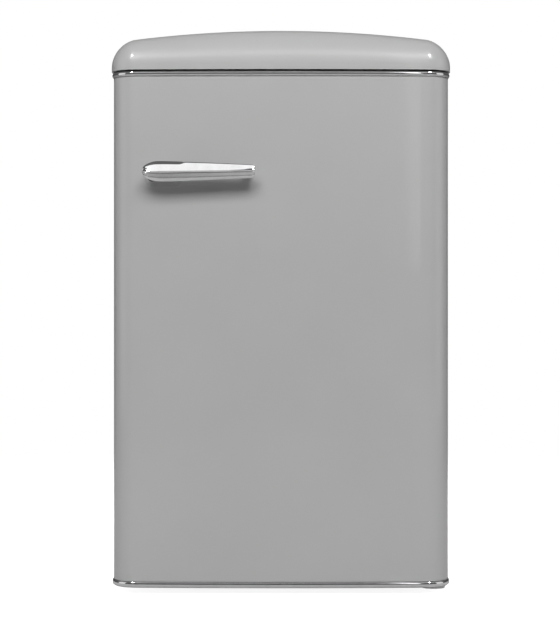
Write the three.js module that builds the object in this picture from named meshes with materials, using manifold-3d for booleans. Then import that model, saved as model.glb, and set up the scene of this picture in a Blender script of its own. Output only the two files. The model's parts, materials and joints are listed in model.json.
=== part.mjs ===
// A retro under-counter fridge with an ice box: a domed top cover, a bowed door with chrome
// bands and a horizontal chrome handle, and a wire condenser and compressor behind.
// Millimetres, +Z up, the front faces -Y. The origin is on the floor, under the middle.

import * as THREE from "three";
import { mergeVertices } from "three/addons/utils/BufferGeometryUtils.js";
import Module from "manifold-3d";

const wasm = await Module();
wasm.setup();

// ---------------------------------------------------------------- driving dimensions

// the outside
const cabinetWidth = 543;
const overallHeight = 910;
const cabinetDepth = 460;
const doorThickness = 62;
const sealGap = 9; // door back to cabinet front, filled by the gasket
const handleReach = 42; // handle front to door front
const condenserReach = 42; // back panel to the outside of the condenser wires
const baseClearance = 24; // floor to the underside of the cabinet
const doorClearance = 12; // floor to the door's lower end
const doorTopGap = 2.4; // door's upper end to the top cover
const crownRise = 66.6; // top cover, lower edge to crown
const crownRadius = 2040;
const coverProud = 3.5; // top cover beyond the cabinet sides
const coverLap = 11; // top cover below the cabinet's top
const coverShoulder = 7; // upright lower edge of the cover below its rounding
const coverWall = 3;

// sheet, walls and clearances
const clearance = 0.3; // between pieces that touch
const steelSheet = 1;
const linerWall = 2;
const sideWall = 44; // outer face to the liner's inner face
const topWall = 43;
const floorWall = 40.7; // liner to the floor panel
const rearWall = 46;
const bayWall = 40; // compressor bay to the liner's step
const linerRounding = 12;
const wrapperEdge = 3; // bend of the wrapper's corners
const flangeWidth = 22; // the steel wrapper's return around the front
const baseHeight = 28;
const baseSheet = 2;
const flangeDrop = 1; // lower end of the liner's flange above the base
const baseChannel = 60; // depth of the front channel of the base
const bayDepth = 147;
const bayHeight = 201;

// the door
const doorBow = 5; // how far the middle of the front stands before its corners
const doorCorner = 38;
const bandProud = 2.5;
const bandHeight = 7;
const bottomBandHeight = 8.8;
const capHeight = 8.4;
const capRim = 0.8; // plain cap seen beyond each chrome band
const hingeInset = 18; // hinge axis from the door's side
const hingeSetback = 31.5; // hinge axis from the door's back
const hingePinRadius = 4;
const hingeRunning = 0.3;
const hingePlate = 3;
const bushRadius = 8;
const bushLength = 20;
const gasketInset = 18;
const gasketWidth = 16;
const dykeInset = 11; // inner door wall to the cabinet's liner
const dykeEndGap = 12;
const dykeWidth = 14;
const dykeReach = 38.5; // beyond the door's back
const panDepth = 18; // recess of the door liner between the dykes
const dykeRounding = 16;

// the handle
const handleLength = 178.7;
const handleEdge = 51.6; // handle's tip from the door's side
const ridgeDrop = 163.9; // handle's ridge below the door's upper end, at the handle's tip
const ridgeRise = 2; // of the ridge, from the tip to the other end
const handleDepth = 15; // of the bar, front to back

// the inside
const iceBoxHeight = 127;
const iceBoxWidth = 410;
const iceBoxGap = 10; // ice box to the ceiling
const iceBoxDepth = 255;
const iceBoxSetback = 134.5; // ice box front behind the cabinet's front
const iceBoxWall = 3;
const iceBoxRounding = 12;
const flapThickness = 11.5;
const flapPinRadius = 2;
const earThickness = 8;
const shelfGlass = 4;
const shelfSideGap = 2.5;
const shelfSetback = 106.5; // shelf front behind the cabinet's front
const shelfRearGap = 11;
const ribWidth = 8;
const ribHeight = 5;
const trimHeight = 12;
const trimDepth = 12;
const shelfCount = 2;
const crisperWall = 2.5;
const crisperSideGap = 11;
const crisperSetback = 112;
const crisperRearGap = 6;
const crisperLipDepth = 12;
const rackWall = 2.5;
const rackDepth = 100;
const rackHeights = { bottle: 92, middle: 58, upper: 54 };
const lugHeight = 8;
const rackFloorGap = 14; // bottle rack above the dyke's inner floor
const flapSwingGap = 12; // upper rack's rim below the open flap

// controls
const housingThickness = 21.7;
const housingLength = 138;
const housingHeight = 70;
const housingSetback = 46.5;
const knobRadius = 17;
const knobDepth = 12;
const switchRadius = 4;
const switchGap = 1.5; // switch tip to the dyke of the shut door

// the machinery
const compressorRadius = 62;
const compressorHeight = 146;
const compressorX = 70;
const grommetRadius = 10;
const grommetHeight = 12;
const trayHeight = 24;
const trayWall = 2;
const drainRadius = 7;
const coilRadius = 2.4;
const coilPasses = 13;
const coilHalfWidth = 190;
const coilMargin = 55; // first pass above the bay
const wireSize = 1.6;
const wireCount = 24;

// feet
const footRadius = 18;
const footPad = 10;
const footStemRadius = 5;
const footStem = 46;
const footInset = 62;
const footSetback = 45;

// ---------------------------------------------------------------- places worked out from them

const coverRounding = doorCorner + 2;
const half = cabinetWidth / 2;
const reach = handleReach + doorThickness + sealGap + cabinetDepth + condenserReach;
const rearMost = reach / 2;
const doorFront = handleReach - reach / 2;
const doorBack = doorFront + doorThickness;
const cabinetFront = doorBack + sealGap;
const cabinetBack = cabinetFront + cabinetDepth;
const coverBase = overallHeight - crownRise;
const cabinetTop = coverBase + coverLap;
const doorTop = coverBase - doorTopGap;
const doorBottom = doorClearance;
const baseTop = baseClearance + baseHeight;

const cavityHalf = half - sideWall;
const cavityTop = cabinetTop - topWall;
const foamBottom = baseTop + clearance + steelSheet + clearance;
const cavityFloor = foamBottom + floorWall;
const cavityBack = cabinetBack - rearWall;
const bayFront = cabinetBack - bayDepth;
const bayTop = baseClearance + bayHeight;
const stepFront = bayFront - bayWall;
const stepTop = bayTop + bayWall + 5;

const hingeX = half - hingeInset;
const hingeY = doorBack - hingeSetback;

const dykeHalf = cavityHalf - dykeInset;
const dykeBottom = cavityFloor + dykeEndGap;
const dykeTop = cavityTop - dykeEndGap;
const dykeTip = doorBack + dykeReach;
const panFloor = doorBack - panDepth;

const iceBoxTop = cavityTop - iceBoxGap;
const iceBoxBottom = iceBoxTop - iceBoxHeight;
const iceBoxFront = cabinetFront + iceBoxSetback;
const flapPivotY = iceBoxFront - 0.4 - flapThickness / 2;
const flapPivotZ = iceBoxBottom + 2 + flapThickness / 2;
const flapTop = iceBoxTop - 2;

const shelfFront = cabinetFront + shelfSetback;
const shelfBack = cavityBack - shelfRearGap;
const shelfHalf = cavityHalf - shelfSideGap;
const coverGlassZ = stepTop + 3;
const shelfPitch = (iceBoxBottom - coverGlassZ) / (shelfCount + 1);
const upperShelfZ = coverGlassZ + shelfPitch * shelfCount;

const rackHalf = dykeHalf - dykeWidth - 1.5;
const rackBackY = panFloor + 1.5;
const rackFrontY = rackBackY + rackDepth;
const bottleRackZ = dykeBottom + dykeWidth + rackFloorGap;
const upperRackZ = iceBoxBottom - flapSwingGap - rackHeights.upper;
const middleRackZ = (bottleRackZ + upperRackZ) / 2;

const trimTop = (shelfGlass + trimHeight) / 2; // above a pane's underside
const housingZ = (upperShelfZ + trimTop + iceBoxBottom) / 2;
const housingFront = cabinetFront + housingSetback;
const housingFace = cavityHalf - clearance - housingThickness;

const compressorY = bayFront + compressorRadius + 13;
const plateTop = baseClearance + baseSheet;
const compressorBase = plateTop + grommetHeight + 2 * clearance;
const compressorTop = compressorBase + compressorHeight;

// ---------------------------------------------------------------- shapes

const v2 = (x, y) => new THREE.Vector2(x, y);
const v3 = (x, y, z) => new THREE.Vector3(x, y, z);

// Points along a circle's arc from one angle to another, both ends included.
function arc(cx, cy, radius, from, to, steps) {
  return Array.from({ length: steps + 1 }, (_, i) => {
    const angle = from + ((to - from) * i) / steps;
    return v2(cx + radius * Math.cos(angle), cy + radius * Math.sin(angle));
  });
}

// A polygon whose corners are rounded: one radius for all of them, or one for each.
function rounded(points, radii, steps = 3) {
  return points.flatMap((p, i) => {
    const r = Array.isArray(radii) ? radii[i] : radii;
    if (!r) return [p];
    const before = points.at(i - 1).clone().sub(p).normalize();
    const after = points[(i + 1) % points.length].clone().sub(p).normalize();
    const halfAngle = Math.acos(THREE.MathUtils.clamp(before.dot(after), -1, 1)) / 2;
    const middle = before.clone().add(after).normalize();
    const centre = p.clone().addScaledVector(middle, r / Math.sin(halfAngle));
    const run = r / Math.tan(halfAngle);
    const start = p.clone().addScaledVector(before, run).sub(centre).angle();
    let turn = p.clone().addScaledVector(after, run).sub(centre).angle() - start;
    if (turn > Math.PI) turn -= 2 * Math.PI;
    if (turn < -Math.PI) turn += 2 * Math.PI;
    return arc(centre.x, centre.y, r, start, start + turn, steps);
  });
}

const rectangle = (x0, x1, y0, y1) => [v2(x0, y0), v2(x1, y0), v2(x1, y1), v2(x0, y1)];

function box(x0, x1, y0, y1, z0, z1) {
  const g = new THREE.BoxGeometry(x1 - x0, y1 - y0, z1 - z0);
  return g.translate((x0 + x1) / 2, (y0 + y1) / 2, (z0 + z1) / 2);
}

// Where a profile's two coordinates and its extrusion point: along X the profile is (y, z),
// along Y it is (x, z) and along Z it is (x, y).
const X = v3(1, 0, 0);
const Y = v3(0, 1, 0);
const Z = v3(0, 0, 1);
const bases = {
  x: [Y, Z, X],
  y: [X, Z, Y.clone().negate()],
  z: [X, Y, Z],
};

// A profile extruded between two planes. A rounding larger than 0 rounds both ends' edges.
function prism(axis, profile, from, to, { holes = [], rounding = 0, steps = 3 } = {}) {
  const shape = new THREE.Shape(profile);
  shape.holes = holes.map((hole) => new THREE.Path(hole));
  const g = new THREE.ExtrudeGeometry(shape, {
    depth: to - from - 2 * rounding,
    steps: 1,
    bevelEnabled: rounding > 0,
    bevelThickness: rounding,
    bevelSize: rounding,
    bevelOffset: -rounding,
    bevelSegments: steps,
  });
  g.translate(0, 0, rounding);
  const turned = g.applyMatrix4(new THREE.Matrix4().makeBasis(...bases[axis]));
  const start = axis === "y" ? to : from;
  return turned.translate(...[X, Y, Z].map((a, i) => ("xyz"[i] === axis ? start : 0)));
}

// A profile of (radius, height) turned about Z, then moved.
function turned(profile, at, sides = 20) {
  const g = new THREE.LatheGeometry(profile, sides);
  return g.rotateX(Math.PI / 2).translate(at.x, at.y, at.z);
}

function cylinder(radius, from, to, sides = 16) {
  const axis = to.clone().sub(from);
  const g = new THREE.CylinderGeometry(radius, radius, axis.length(), sides);
  g.applyQuaternion(new THREE.Quaternion().setFromUnitVectors(Y, axis.normalize()));
  return g.translate(...from.clone().add(to).multiplyScalar(0.5).toArray());
}

// A route through given points, one extrusion step to each of them.
class Route extends THREE.Curve {
  constructor(points) {
    super();
    this.points = points;
  }
  getPoint(t) {
    const last = this.points.length - 1;
    return this.points[Math.round(t * last)].clone();
  }
  getPointAt(t) {
    return this.getPoint(t);
  }
  getTangentAt(t) {
    const last = this.points.length - 1;
    const i = Math.round(t * last);
    const before = this.points[Math.max(i - 1, 0)];
    const here = this.points[i];
    const after = this.points[Math.min(i + 1, last)];
    const into = here.clone().sub(before).normalize();
    const out = after.clone().sub(here).normalize();
    return into.add(out).normalize();
  }
}

function pipe(points, radius, sides = 8) {
  const section = arc(0, 0, radius, 0, 2 * Math.PI * (1 - 1 / sides), sides - 1);
  const steps = points.length - 1;
  return new THREE.ExtrudeGeometry(new THREE.Shape(section), {
    steps,
    bevelEnabled: false,
    extrudePath: new Route(points),
  });
}

// Rings of points joined one to the next, with both end rings closed by strips across.
function loft(rings) {
  const count = rings[0].length;
  const position = rings.flat().flatMap((p) => p.toArray());
  const index = [];
  for (let k = 0; k + 1 < rings.length; k++) {
    for (let i = 0; i < count; i++) {
      const a = k * count + i;
      const b = k * count + ((i + 1) % count);
      index.push(a, b, b + count, a, b + count, a + count);
    }
  }
  for (const [start, flip] of [[0, true], [(rings.length - 1) * count, false]]) {
    for (let i = 0; i < count / 2 - 1; i++) {
      const [a, b] = [start + i, start + i + 1];
      const [c, d] = [start + count - 2 - i, start + count - 1 - i];
      index.push(...(flip ? [a, c, b, a, d, c] : [a, b, c, a, c, d]));
    }
  }
  const g = new THREE.BufferGeometry();
  g.setAttribute("position", new THREE.Float32BufferAttribute(position, 3));
  g.setIndex(index);
  return g;
}

function toSolid(geometry) {
  const bare = geometry.clone();
  bare.deleteAttribute("normal");
  bare.deleteAttribute("uv");
  const merged = mergeVertices(bare, 1e-4);
  const mesh = new wasm.Mesh({
    numProp: 3,
    vertProperties: merged.attributes.position.array,
    triVerts: new Uint32Array(merged.index.array),
  });
  return new wasm.Manifold(mesh);
}

function toGeometry(solid) {
  const mesh = solid.getMesh();
  const g = new THREE.BufferGeometry();
  g.setAttribute("position", new THREE.BufferAttribute(mesh.vertProperties, 3));
  g.setIndex(new THREE.BufferAttribute(mesh.triVerts, 1));
  return g;
}

// Joins the first list of geometries, then cuts the second list from them.
function build(joined, removed = []) {
  const whole = joined.map(toSolid).reduce((a, b) => a.add(b));
  return toGeometry(removed.map(toSolid).reduce((a, b) => a.subtract(b), whole));
}

function common(a, b) {
  return toGeometry(toSolid(a).intersect(toSolid(b)));
}

// ---------------------------------------------------------------- outlines in plan

// The bowed front with its two round corners, grown outwards by an offset. The ends of the
// list are where the straight sides begin.
function frontCurve(offset = 0, cornerSteps = 6, bowSteps = 10) {
  const flatHalf = half - doorCorner;
  const bowRadius = (flatHalf ** 2 + doorBow ** 2) / (2 * doorBow);
  const bowCentre = doorFront + bowRadius;
  const cornerY = bowCentre - Math.sqrt((bowRadius - doorCorner) ** 2 - flatHalf ** 2);
  const lean = Math.asin(flatHalf / (bowRadius - doorCorner));
  const middle = -Math.PI / 2;
  const corner = doorCorner + offset;
  return [
    ...arc(-flatHalf, cornerY, corner, -Math.PI, middle - lean, cornerSteps),
    ...arc(0, bowCentre, bowRadius + offset, middle - lean, middle + lean, bowSteps).slice(1, -1),
    ...arc(flatHalf, cornerY, corner, middle + lean, 0, cornerSteps),
  ];
}

function plan(offset, back) {
  const front = frontCurve(offset);
  return [v2(front[0].x, back), ...front, v2(front.at(-1).x, back)];
}

// A band that follows the front curve, from an inner offset to an outer one.
function bandPlan(inner, outer, back) {
  return [...plan(outer, back), ...plan(inner, back).reverse()];
}

// ---------------------------------------------------------------- materials and nodes

const paint = (color, roughness, metalness = 0) =>
  new THREE.MeshStandardMaterial({ color, roughness, metalness });

const materials = {
  greyPaint: paint(0xa9a9a9, 0.25),
  chrome: paint(0xd8d8da, 0.08, 1),
  whitePlastic: paint(0xeeeeec, 0.35),
  greyPlastic: paint(0x9c9c9c, 0.4),
  blackPlastic: paint(0x1c1c1d, 0.5),
  clearPlastic: paint(0xdfe8ea, 0.15),
  glass: paint(0xd6e6e0, 0.05),
  foam: paint(0xe6d9a8, 0.9),
  seal: paint(0xdadada, 0.7),
  rubber: paint(0x202020, 0.85),
  blackSteel: paint(0x1d1d1f, 0.45, 0.3),
  zincSteel: paint(0xb4b7ba, 0.35, 1),
  aluminium: paint(0xd2d5d8, 0.4, 1),
  copper: paint(0xb87352, 0.3, 1),
  bulb: paint(0xfff3d6, 0.1),
};

const fridge = new THREE.Group();

function add(name, material, geometry, parent = fridge) {
  const mesh = new THREE.Mesh(geometry, materials[material]);
  mesh.name = name;
  parent.add(mesh);
  return mesh;
}

// ---------------------------------------------------------------- cabinet

// The cavity's side view, grown by an offset. It runs past the cabinet's front. The foam's is
// square-cornered behind the liner's roundings.
function cavity(offset, square = false) {
  const front = cabinetFront - 2 * linerRounding - offset;
  const [floor, top] = [cavityFloor - offset, cavityTop + offset];
  const [step, back] = [stepFront + offset, cavityBack + offset];
  const outline = [
    v2(front, floor),
    v2(step, floor),
    v2(step, stepTop - offset),
    v2(back, stepTop - offset),
    v2(back, top),
    v2(front, top),
  ];
  const outer = square ? 0 : linerRounding + offset;
  const profile = rounded(outline, [0, outer, linerRounding - offset, outer, outer, 0]);
  const end = cavityHalf + offset;
  return prism("x", profile, -end, end, { rounding: square ? 0 : linerRounding * 0.6 });
}

function cabinetShell() {
  const edge = wrapperEdge;
  const block = (inset) => {
    const outline = rounded(
      rectangle(-half + inset, half - inset, baseClearance - 20, cabinetTop - inset),
      [0, 0, edge - inset, edge - inset],
    );
    const back = cabinetBack + 20;
    return prism("y", outline, cabinetFront + inset, back, { rounding: (edge - inset) * 0.6 });
  };
  const opening = half - flangeWidth;
  return build(
    [block(0)],
    [
      block(steelSheet),
      box(-opening, opening, cabinetFront - 5, cabinetFront + 5, 0, cabinetTop - flangeWidth),
      box(-half - 5, half + 5, cabinetFront - 5, cabinetBack + 30, 0, baseClearance),
      box(-half - 5, half + 5, cabinetBack, cabinetBack + 30, 0, cabinetTop + 5),
    ],
  );
}

// The room inside the steel wrapper.
function wrapped() {
  const side = half - steelSheet - clearance;
  const top = cabinetTop - steelSheet - clearance;
  const corner = wrapperEdge - steelSheet;
  const outline = rounded(rectangle(-side, side, 0, top), [0, 0, corner, corner]);
  return prism("y", outline, cabinetFront, cabinetBack + 5);
}

function backPanel() {
  const side = half - steelSheet - clearance;
  const [y0, y1] = [cabinetBack - steelSheet, cabinetBack];
  const top = cabinetTop - steelSheet - clearance;
  const profile = [
    v2(y1, top),
    v2(y0, top),
    v2(y0, bayTop),
    v2(bayFront, bayTop),
    v2(bayFront, baseTop + clearance),
    v2(bayFront + steelSheet, baseTop + clearance),
    v2(bayFront + steelSheet, bayTop - steelSheet),
    v2(y1, bayTop - steelSheet),
  ];
  const sheet = common(build([prism("x", profile, -side, side)], [drainHole()]), wrapped());
  const tabs = [-120, 120].flatMap((x) =>
    [gridLow, gridHigh - gridRail].map((z) =>
      box(x - 10, x + 10, cabinetBack - 0.4, wireBack - clearance, z, z + gridRail),
    ),
  );
  return build([sheet, ...tabs]);
}

const drainX = compressorX - 35;
const drainY = bayFront + 30;

function drainHole() {
  const radius = drainRadius + clearance;
  return cylinder(radius, v3(drainX, drainY, bayTop - 10), v3(drainX, drainY, stepTop + 10));
}

function insulation() {
  const side = half - steelSheet - clearance;
  const front = cabinetFront + linerWall + clearance;
  const back = cabinetBack - steelSheet - clearance;
  const top = cabinetTop - steelSheet - clearance;
  return build(
    [common(box(-side, side, front, back, foamBottom, top), wrapped())],
    [
      cavity(linerWall + clearance, true),
      box(-half, half, bayFront - clearance, cabinetBack + 5, 0, bayTop + clearance),
      drainHole(),
    ],
  );
}

// Heights of the ledges that carry the crisper's glass cover and the shelves.
const shelfHeights = Array.from({ length: shelfCount + 1 }, (_, i) => coverGlassZ + i * shelfPitch);

function innerLiner() {
  const rim = half - flangeWidth - clearance;
  const rimTop = cabinetTop - flangeWidth - clearance;
  const trimmed = common(
    cavity(linerWall),
    box(-half, half, cabinetFront, cabinetBack, 0, cabinetTop),
  );
  const low = baseTop + flangeDrop;
  const flange = box(-rim, rim, cabinetFront, cabinetFront + linerWall, low, rimTop);
  const ledges = shelfHeights.flatMap((z) =>
    [-1, 1].map((s) => {
      const [inner, outer] = [cavityHalf - ribWidth, cavityHalf + linerWall / 2];
      const [x0, x1] = s < 0 ? [-outer, -inner] : [inner, outer];
      const top = z - clearance;
      const front = z === coverGlassZ ? shelfFront : shelfFront - trimDepth;
      return box(x0, x1, front, cavityBack + 1, top - ribHeight, top);
    }),
  );
  const shell = build([trimmed, flange], [cavity(0)]);
  return build([shell, common(build(ledges), cavity(linerWall))], [drainHole()]);
}

function baseFrame() {
  const side = half - steelSheet - clearance;
  const front = cabinetFront + linerWall + clearance;
  const back = front + baseChannel;
  const [low, high, t] = [baseClearance, baseTop, baseSheet];
  const profile = [
    v2(back, low),
    v2(back, low + t),
    v2(front + t, low + t),
    v2(front + t, high - t),
    v2(back, high - t),
    v2(back, high),
    v2(front, high),
    v2(front, low),
  ];
  const holes = frontFeet.map(({ x }) =>
    cylinder(footStemRadius + 0.5, v3(x, footY, low - 5), v3(x, footY, low + 5)),
  );
  return build([prism("x", profile.reverse(), -side, side)], holes);
}

function floorPanel() {
  const side = half - steelSheet - clearance;
  const low = baseTop + clearance;
  const front = cabinetFront + linerWall + clearance;
  return box(-side, side, front, bayFront - clearance, low, low + steelSheet);
}

function compressorPlate() {
  const side = half - steelSheet - clearance;
  const [low, t, lip] = [baseClearance, baseSheet, 20];
  const profile = [
    v2(-side, low),
    v2(side, low),
    v2(side, low + lip),
    v2(side - t, low + lip),
    v2(side - t, low + t),
    v2(-side + t, low + t),
    v2(-side + t, low + lip),
    v2(-side, low + lip),
  ];
  const front = bayFront + 4;
  const flange = box(-side, side, front, front + t, low, baseTop - clearance);
  return build([prism("y", profile, front, cabinetBack - 2), flange]);
}

// ---------------------------------------------------------------- top cover

// The domed block: the front curve's plan, rounded over into a crown that arches from side
// to side, grown inwards by an inset.
function dome(inset, low) {
  const back = cabinetBack + coverProud - inset;
  const radius = crownRadius - inset;
  const crown = (x) => {
    const centre = overallHeight - inset - radius;
    return centre + Math.sqrt(radius ** 2 - x ** 2);
  };
  const shoulder = coverBase + coverShoulder;
  const turns = [0, 15, 30, 45, 60, 75, 90].map(THREE.MathUtils.degToRad);
  const ring = (shrink, height) => {
    const front = frontCurve(coverProud - inset - shrink, 6, 12);
    const before = front.map((p) => v3(p.x, p.y, height(p.x)));
    const behind = before.map((p) => v3(p.x, back, p.z)).reverse();
    return [...before, ...behind];
  };
  return loft([
    ring(0, () => low),
    ...turns.map((turn) =>
      ring(
        (coverRounding - inset) * (1 - Math.cos(turn)),
        (x) => shoulder + (crown(x) - shoulder) * Math.sin(turn),
      ),
    ),
  ]);
}

function topCover() {
  return build([dome(0, coverBase)], [dome(coverWall, coverBase - 5)]);
}

function coverPanel() {
  const outline = plan(coverProud - coverWall - clearance, cabinetFront - clearance - 0.1);
  const low = coverBase + clearance;
  const slab = prism("z", outline, low, low + 2);
  const hole = cylinder(hingePinRadius + 1, v3(hingeX, hingeY, low - 5), v3(hingeX, hingeY, low + 7));
  return build([slab], [hole]);
}

// ---------------------------------------------------------------- hinges

// A Z-shaped plate: a foot on the cabinet, a step, and an arm that carries the pin.
function bracket(footZ, armZ, footLength) {
  const t = hingePlate;
  const [left, right] = [half - 44, half - 6];
  const [tip, stepY] = [hingeY - 17, cabinetFront - clearance];
  const footBack = cabinetFront + footLength;
  const profile = [
    v2(tip, armZ),
    v2(stepY, armZ),
    v2(stepY, footZ),
    v2(footBack, footZ),
    v2(footBack, footZ + t),
    v2(stepY - t, footZ + t),
    v2(stepY - t, armZ + t),
    v2(tip, armZ + t),
  ];
  const outline = rounded(rectangle(left, right, tip, footBack), [15, 15, 5, 5]);
  return common(prism("x", profile, left, right), prism("z", outline, armZ - 5, footZ + t + 5));
}

const upperArmZ = coverBase + clearance + 2 + clearance;
const lowerArmZ = doorBottom - clearance - hingePlate;

function upperHinge() {
  const plate = bracket(cabinetTop + clearance, upperArmZ, 70);
  const top = upperArmZ + 1;
  const pin = cylinder(hingePinRadius, v3(hingeX, hingeY, doorTop - bushLength + 4), v3(hingeX, hingeY, top));
  return build([plate, pin]);
}

function lowerHinge() {
  const foot = baseClearance - clearance - hingePlate;
  const plate = bracket(foot, lowerArmZ, 56);
  const low = lowerArmZ + hingePlate - 1;
  const pin = cylinder(hingePinRadius, v3(hingeX, hingeY, low), v3(hingeX, hingeY, doorBottom + bushLength));
  return build([plate, pin]);
}

function bush(low) {
  const hole = hingePinRadius + hingeRunning;
  const profile = [
    v2(hole, 0),
    v2(bushRadius, 0),
    v2(bushRadius, bushLength),
    v2(hole, bushLength),
    v2(hole, 0),
  ];
  return turned(profile, v3(hingeX, hingeY, low));
}

// ---------------------------------------------------------------- door

const skinBottom = doorBottom + capHeight + capRim;
const skinTop = doorTop - capHeight;
const bushHole = (z0, z1) =>
  cylinder(bushRadius + clearance, v3(hingeX, hingeY, z0), v3(hingeX, hingeY, z1), 20);

function doorSkin() {
  return prism("z", bandPlan(-steelSheet, 0, doorBack), skinBottom + clearance, skinTop - clearance);
}

// A rounded rectangle in front view, between two depths.
function frontBlock(side, low, high, y0, y1, rounding) {
  return prism("y", rounded(rectangle(-side, side, low, high), rounding), y0, y1);
}

// The hollow rib behind the door liner's dyke, or the foam that fills it.
function dykeRib(gap, y0, y1) {
  const inner = dykeWidth - linerWall - gap;
  const outer = linerWall + gap;
  const loop = (inset) =>
    rounded(
      rectangle(-dykeHalf + inset, dykeHalf - inset, dykeBottom + inset, dykeTop - inset),
      Math.max(dykeRounding - inset, 2),
    );
  return prism("y", loop(outer), y0, y1, { holes: [loop(inner)] });
}

function doorFoam() {
  const inset = steelSheet + clearance;
  const back = doorBack - linerWall - clearance;
  const core = prism("z", plan(-inset, back), skinBottom + 2 * clearance, skinTop - 2 * clearance);
  const pan = dykeWidth - linerWall - clearance;
  const block = frontBlock(
    dykeHalf - pan,
    dykeBottom + pan,
    dykeTop - pan,
    panFloor - linerWall - clearance,
    dykeTip,
    dykeRounding - 10,
  );
  const rib = dykeRib(clearance, back - 1, dykeTip - linerWall - clearance);
  const cored = build([core], [block]);
  return build(
    [cored, rib],
    [
      bushHole(0, doorBottom + bushLength + clearance),
      bushHole(doorTop - bushLength - 2 * clearance, doorTop),
    ],
  );
}

const rackFloors = { bottle: bottleRackZ, middle: middleRackZ, upper: upperRackZ };

function doorLiner() {
  const side = half - steelSheet - clearance;
  const plate = box(
    -side,
    side,
    doorBack - linerWall,
    doorBack,
    skinBottom + 2 * clearance,
    skinTop - 2 * clearance,
  );
  const dyke = frontBlock(dykeHalf, dykeBottom, dykeTop, doorBack - linerWall, dykeTip, dykeRounding);
  const panSide = dykeWidth - linerWall;
  const pan = frontBlock(
    dykeHalf - panSide,
    dykeBottom + panSide,
    dykeTop - panSide,
    panFloor - linerWall,
    dykeTip,
    dykeRounding - 10,
  );
  const inner = frontBlock(
    dykeHalf - dykeWidth,
    dykeBottom + dykeWidth,
    dykeTop - dykeWidth,
    panFloor,
    dykeTip + 10,
    dykeRounding - 12,
  );
  const groove = dykeRib(0, doorBack - linerWall - 1, dykeTip - linerWall);
  const lugs = Object.values(rackFloors).flatMap((z) =>
    [-1, 1].map((s) => {
      const [near, far] = [dykeHalf - dykeWidth - 7, dykeHalf - dykeWidth + 1];
      const [x0, x1] = s < 0 ? [-far, -near] : [near, far];
      const top = z - clearance;
      return box(x0, x1, panFloor + 12, dykeTip - 6, top - lugHeight, top);
    }),
  );
  const shell = build([plate, dyke, pan], [groove, inner]);
  return build([shell, ...lugs]);
}

function doorGasket() {
  const side = half - gasketInset;
  const low = foamBottom + 8;
  const high = doorTop - capHeight - 2;
  const loop = (inset) =>
    rounded(rectangle(-side + inset, side - inset, low + inset, high - inset), 14 - inset / 2);
  return prism("y", loop(0), doorBack + clearance, cabinetFront - clearance, {
    holes: [loop(gasketWidth)],
  });
}

function doorCap(low) {
  const slab = prism("z", plan(0, doorBack), low, low + capHeight);
  return build([slab], [bushHole(low - 5, low + capHeight + 5)]);
}

// A chrome band round the front and sides of a cap, with chamfered edges.
function doorBand(low, height) {
  const back = doorBack - 2.5;
  const chamfer = bandProud * 0.6;
  const wide = prism("z", bandPlan(clearance, bandProud, back), low + chamfer, low + height - chamfer);
  const tall = prism("z", bandPlan(clearance, bandProud - chamfer, back), low, low + height);
  return build([wide, tall]);
}

// ---------------------------------------------------------------- handle

const handleLeft = -half + handleEdge;
const ridgeZ = doorTop - ridgeDrop;

// The bar's section at a share of its length from the tip: a wedge with a ridge in front.
function barSection(share) {
  const grown = (length) => Math.sqrt(Math.min(1, 0.02 + share / length));
  const tail = share > 0.98 ? 0.85 : 1;
  const above = (17.5 - 8.5 * share ** 1.5) * grown(0.13) * tail;
  const below = (16.8 - 4.6 * share ** 1.5) * grown(0.15) * tail;
  const middle = ridgeZ + ridgeRise * share;
  const front = doorFront - handleReach + 5 * (1 - grown(0.12)) + 30 * Math.max(0, share - 0.96);
  const back = doorFront - handleReach + handleDepth;
  const section = [
    [front, 0],
    [front + 0.3, above * 0.05],
    [front + 1.5, above * 0.35],
    [front + 3.5, above * 0.65],
    [back - 4, above],
    [back, above * 0.85],
    [back, -below * 0.8],
    [front + 7, -below],
    [front + 3.5, -below * 0.8],
    [front + 1.2, -below * 0.4],
  ];
  return section.map(([y, z]) => v3(handleLeft + handleLength * share, y, middle + z));
}

function handleBar() {
  const shares = [0, 0.012, 0.035, 0.07, 0.12, 0.2, 0.35, 0.5, 0.65, 0.8, 0.9, 0.96, 0.985, 1];
  return loft(shares.map(barSection).reverse());
}

// A foot between the bar and the door, from one share of the bar's length to another. It
// widens towards the door and is cut to the door's bow.
function handleFoot(from, to, low, high, flare) {
  const barBack = doorFront - handleReach + handleDepth + clearance;
  const [x0, x1] = [handleLeft + from, handleLeft + to];
  const rings = [1, 0.8, 0.5, 0.2, 0].map((share) => {
    const grow = flare * share ** 2;
    const y = barBack + (doorFront + doorBow + 4 - barBack) * share;
    const corners = rectangle(x0 - grow, x1 + grow, ridgeZ + low - grow, ridgeZ + high + grow);
    return rounded(corners, 5 + grow).map((p) => v3(p.x, y, p.y));
  });
  const door = prism("z", plan(clearance, doorBack), doorBottom, doorTop);
  return build([loft(rings)], [door]);
}

// ---------------------------------------------------------------- inside

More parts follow.
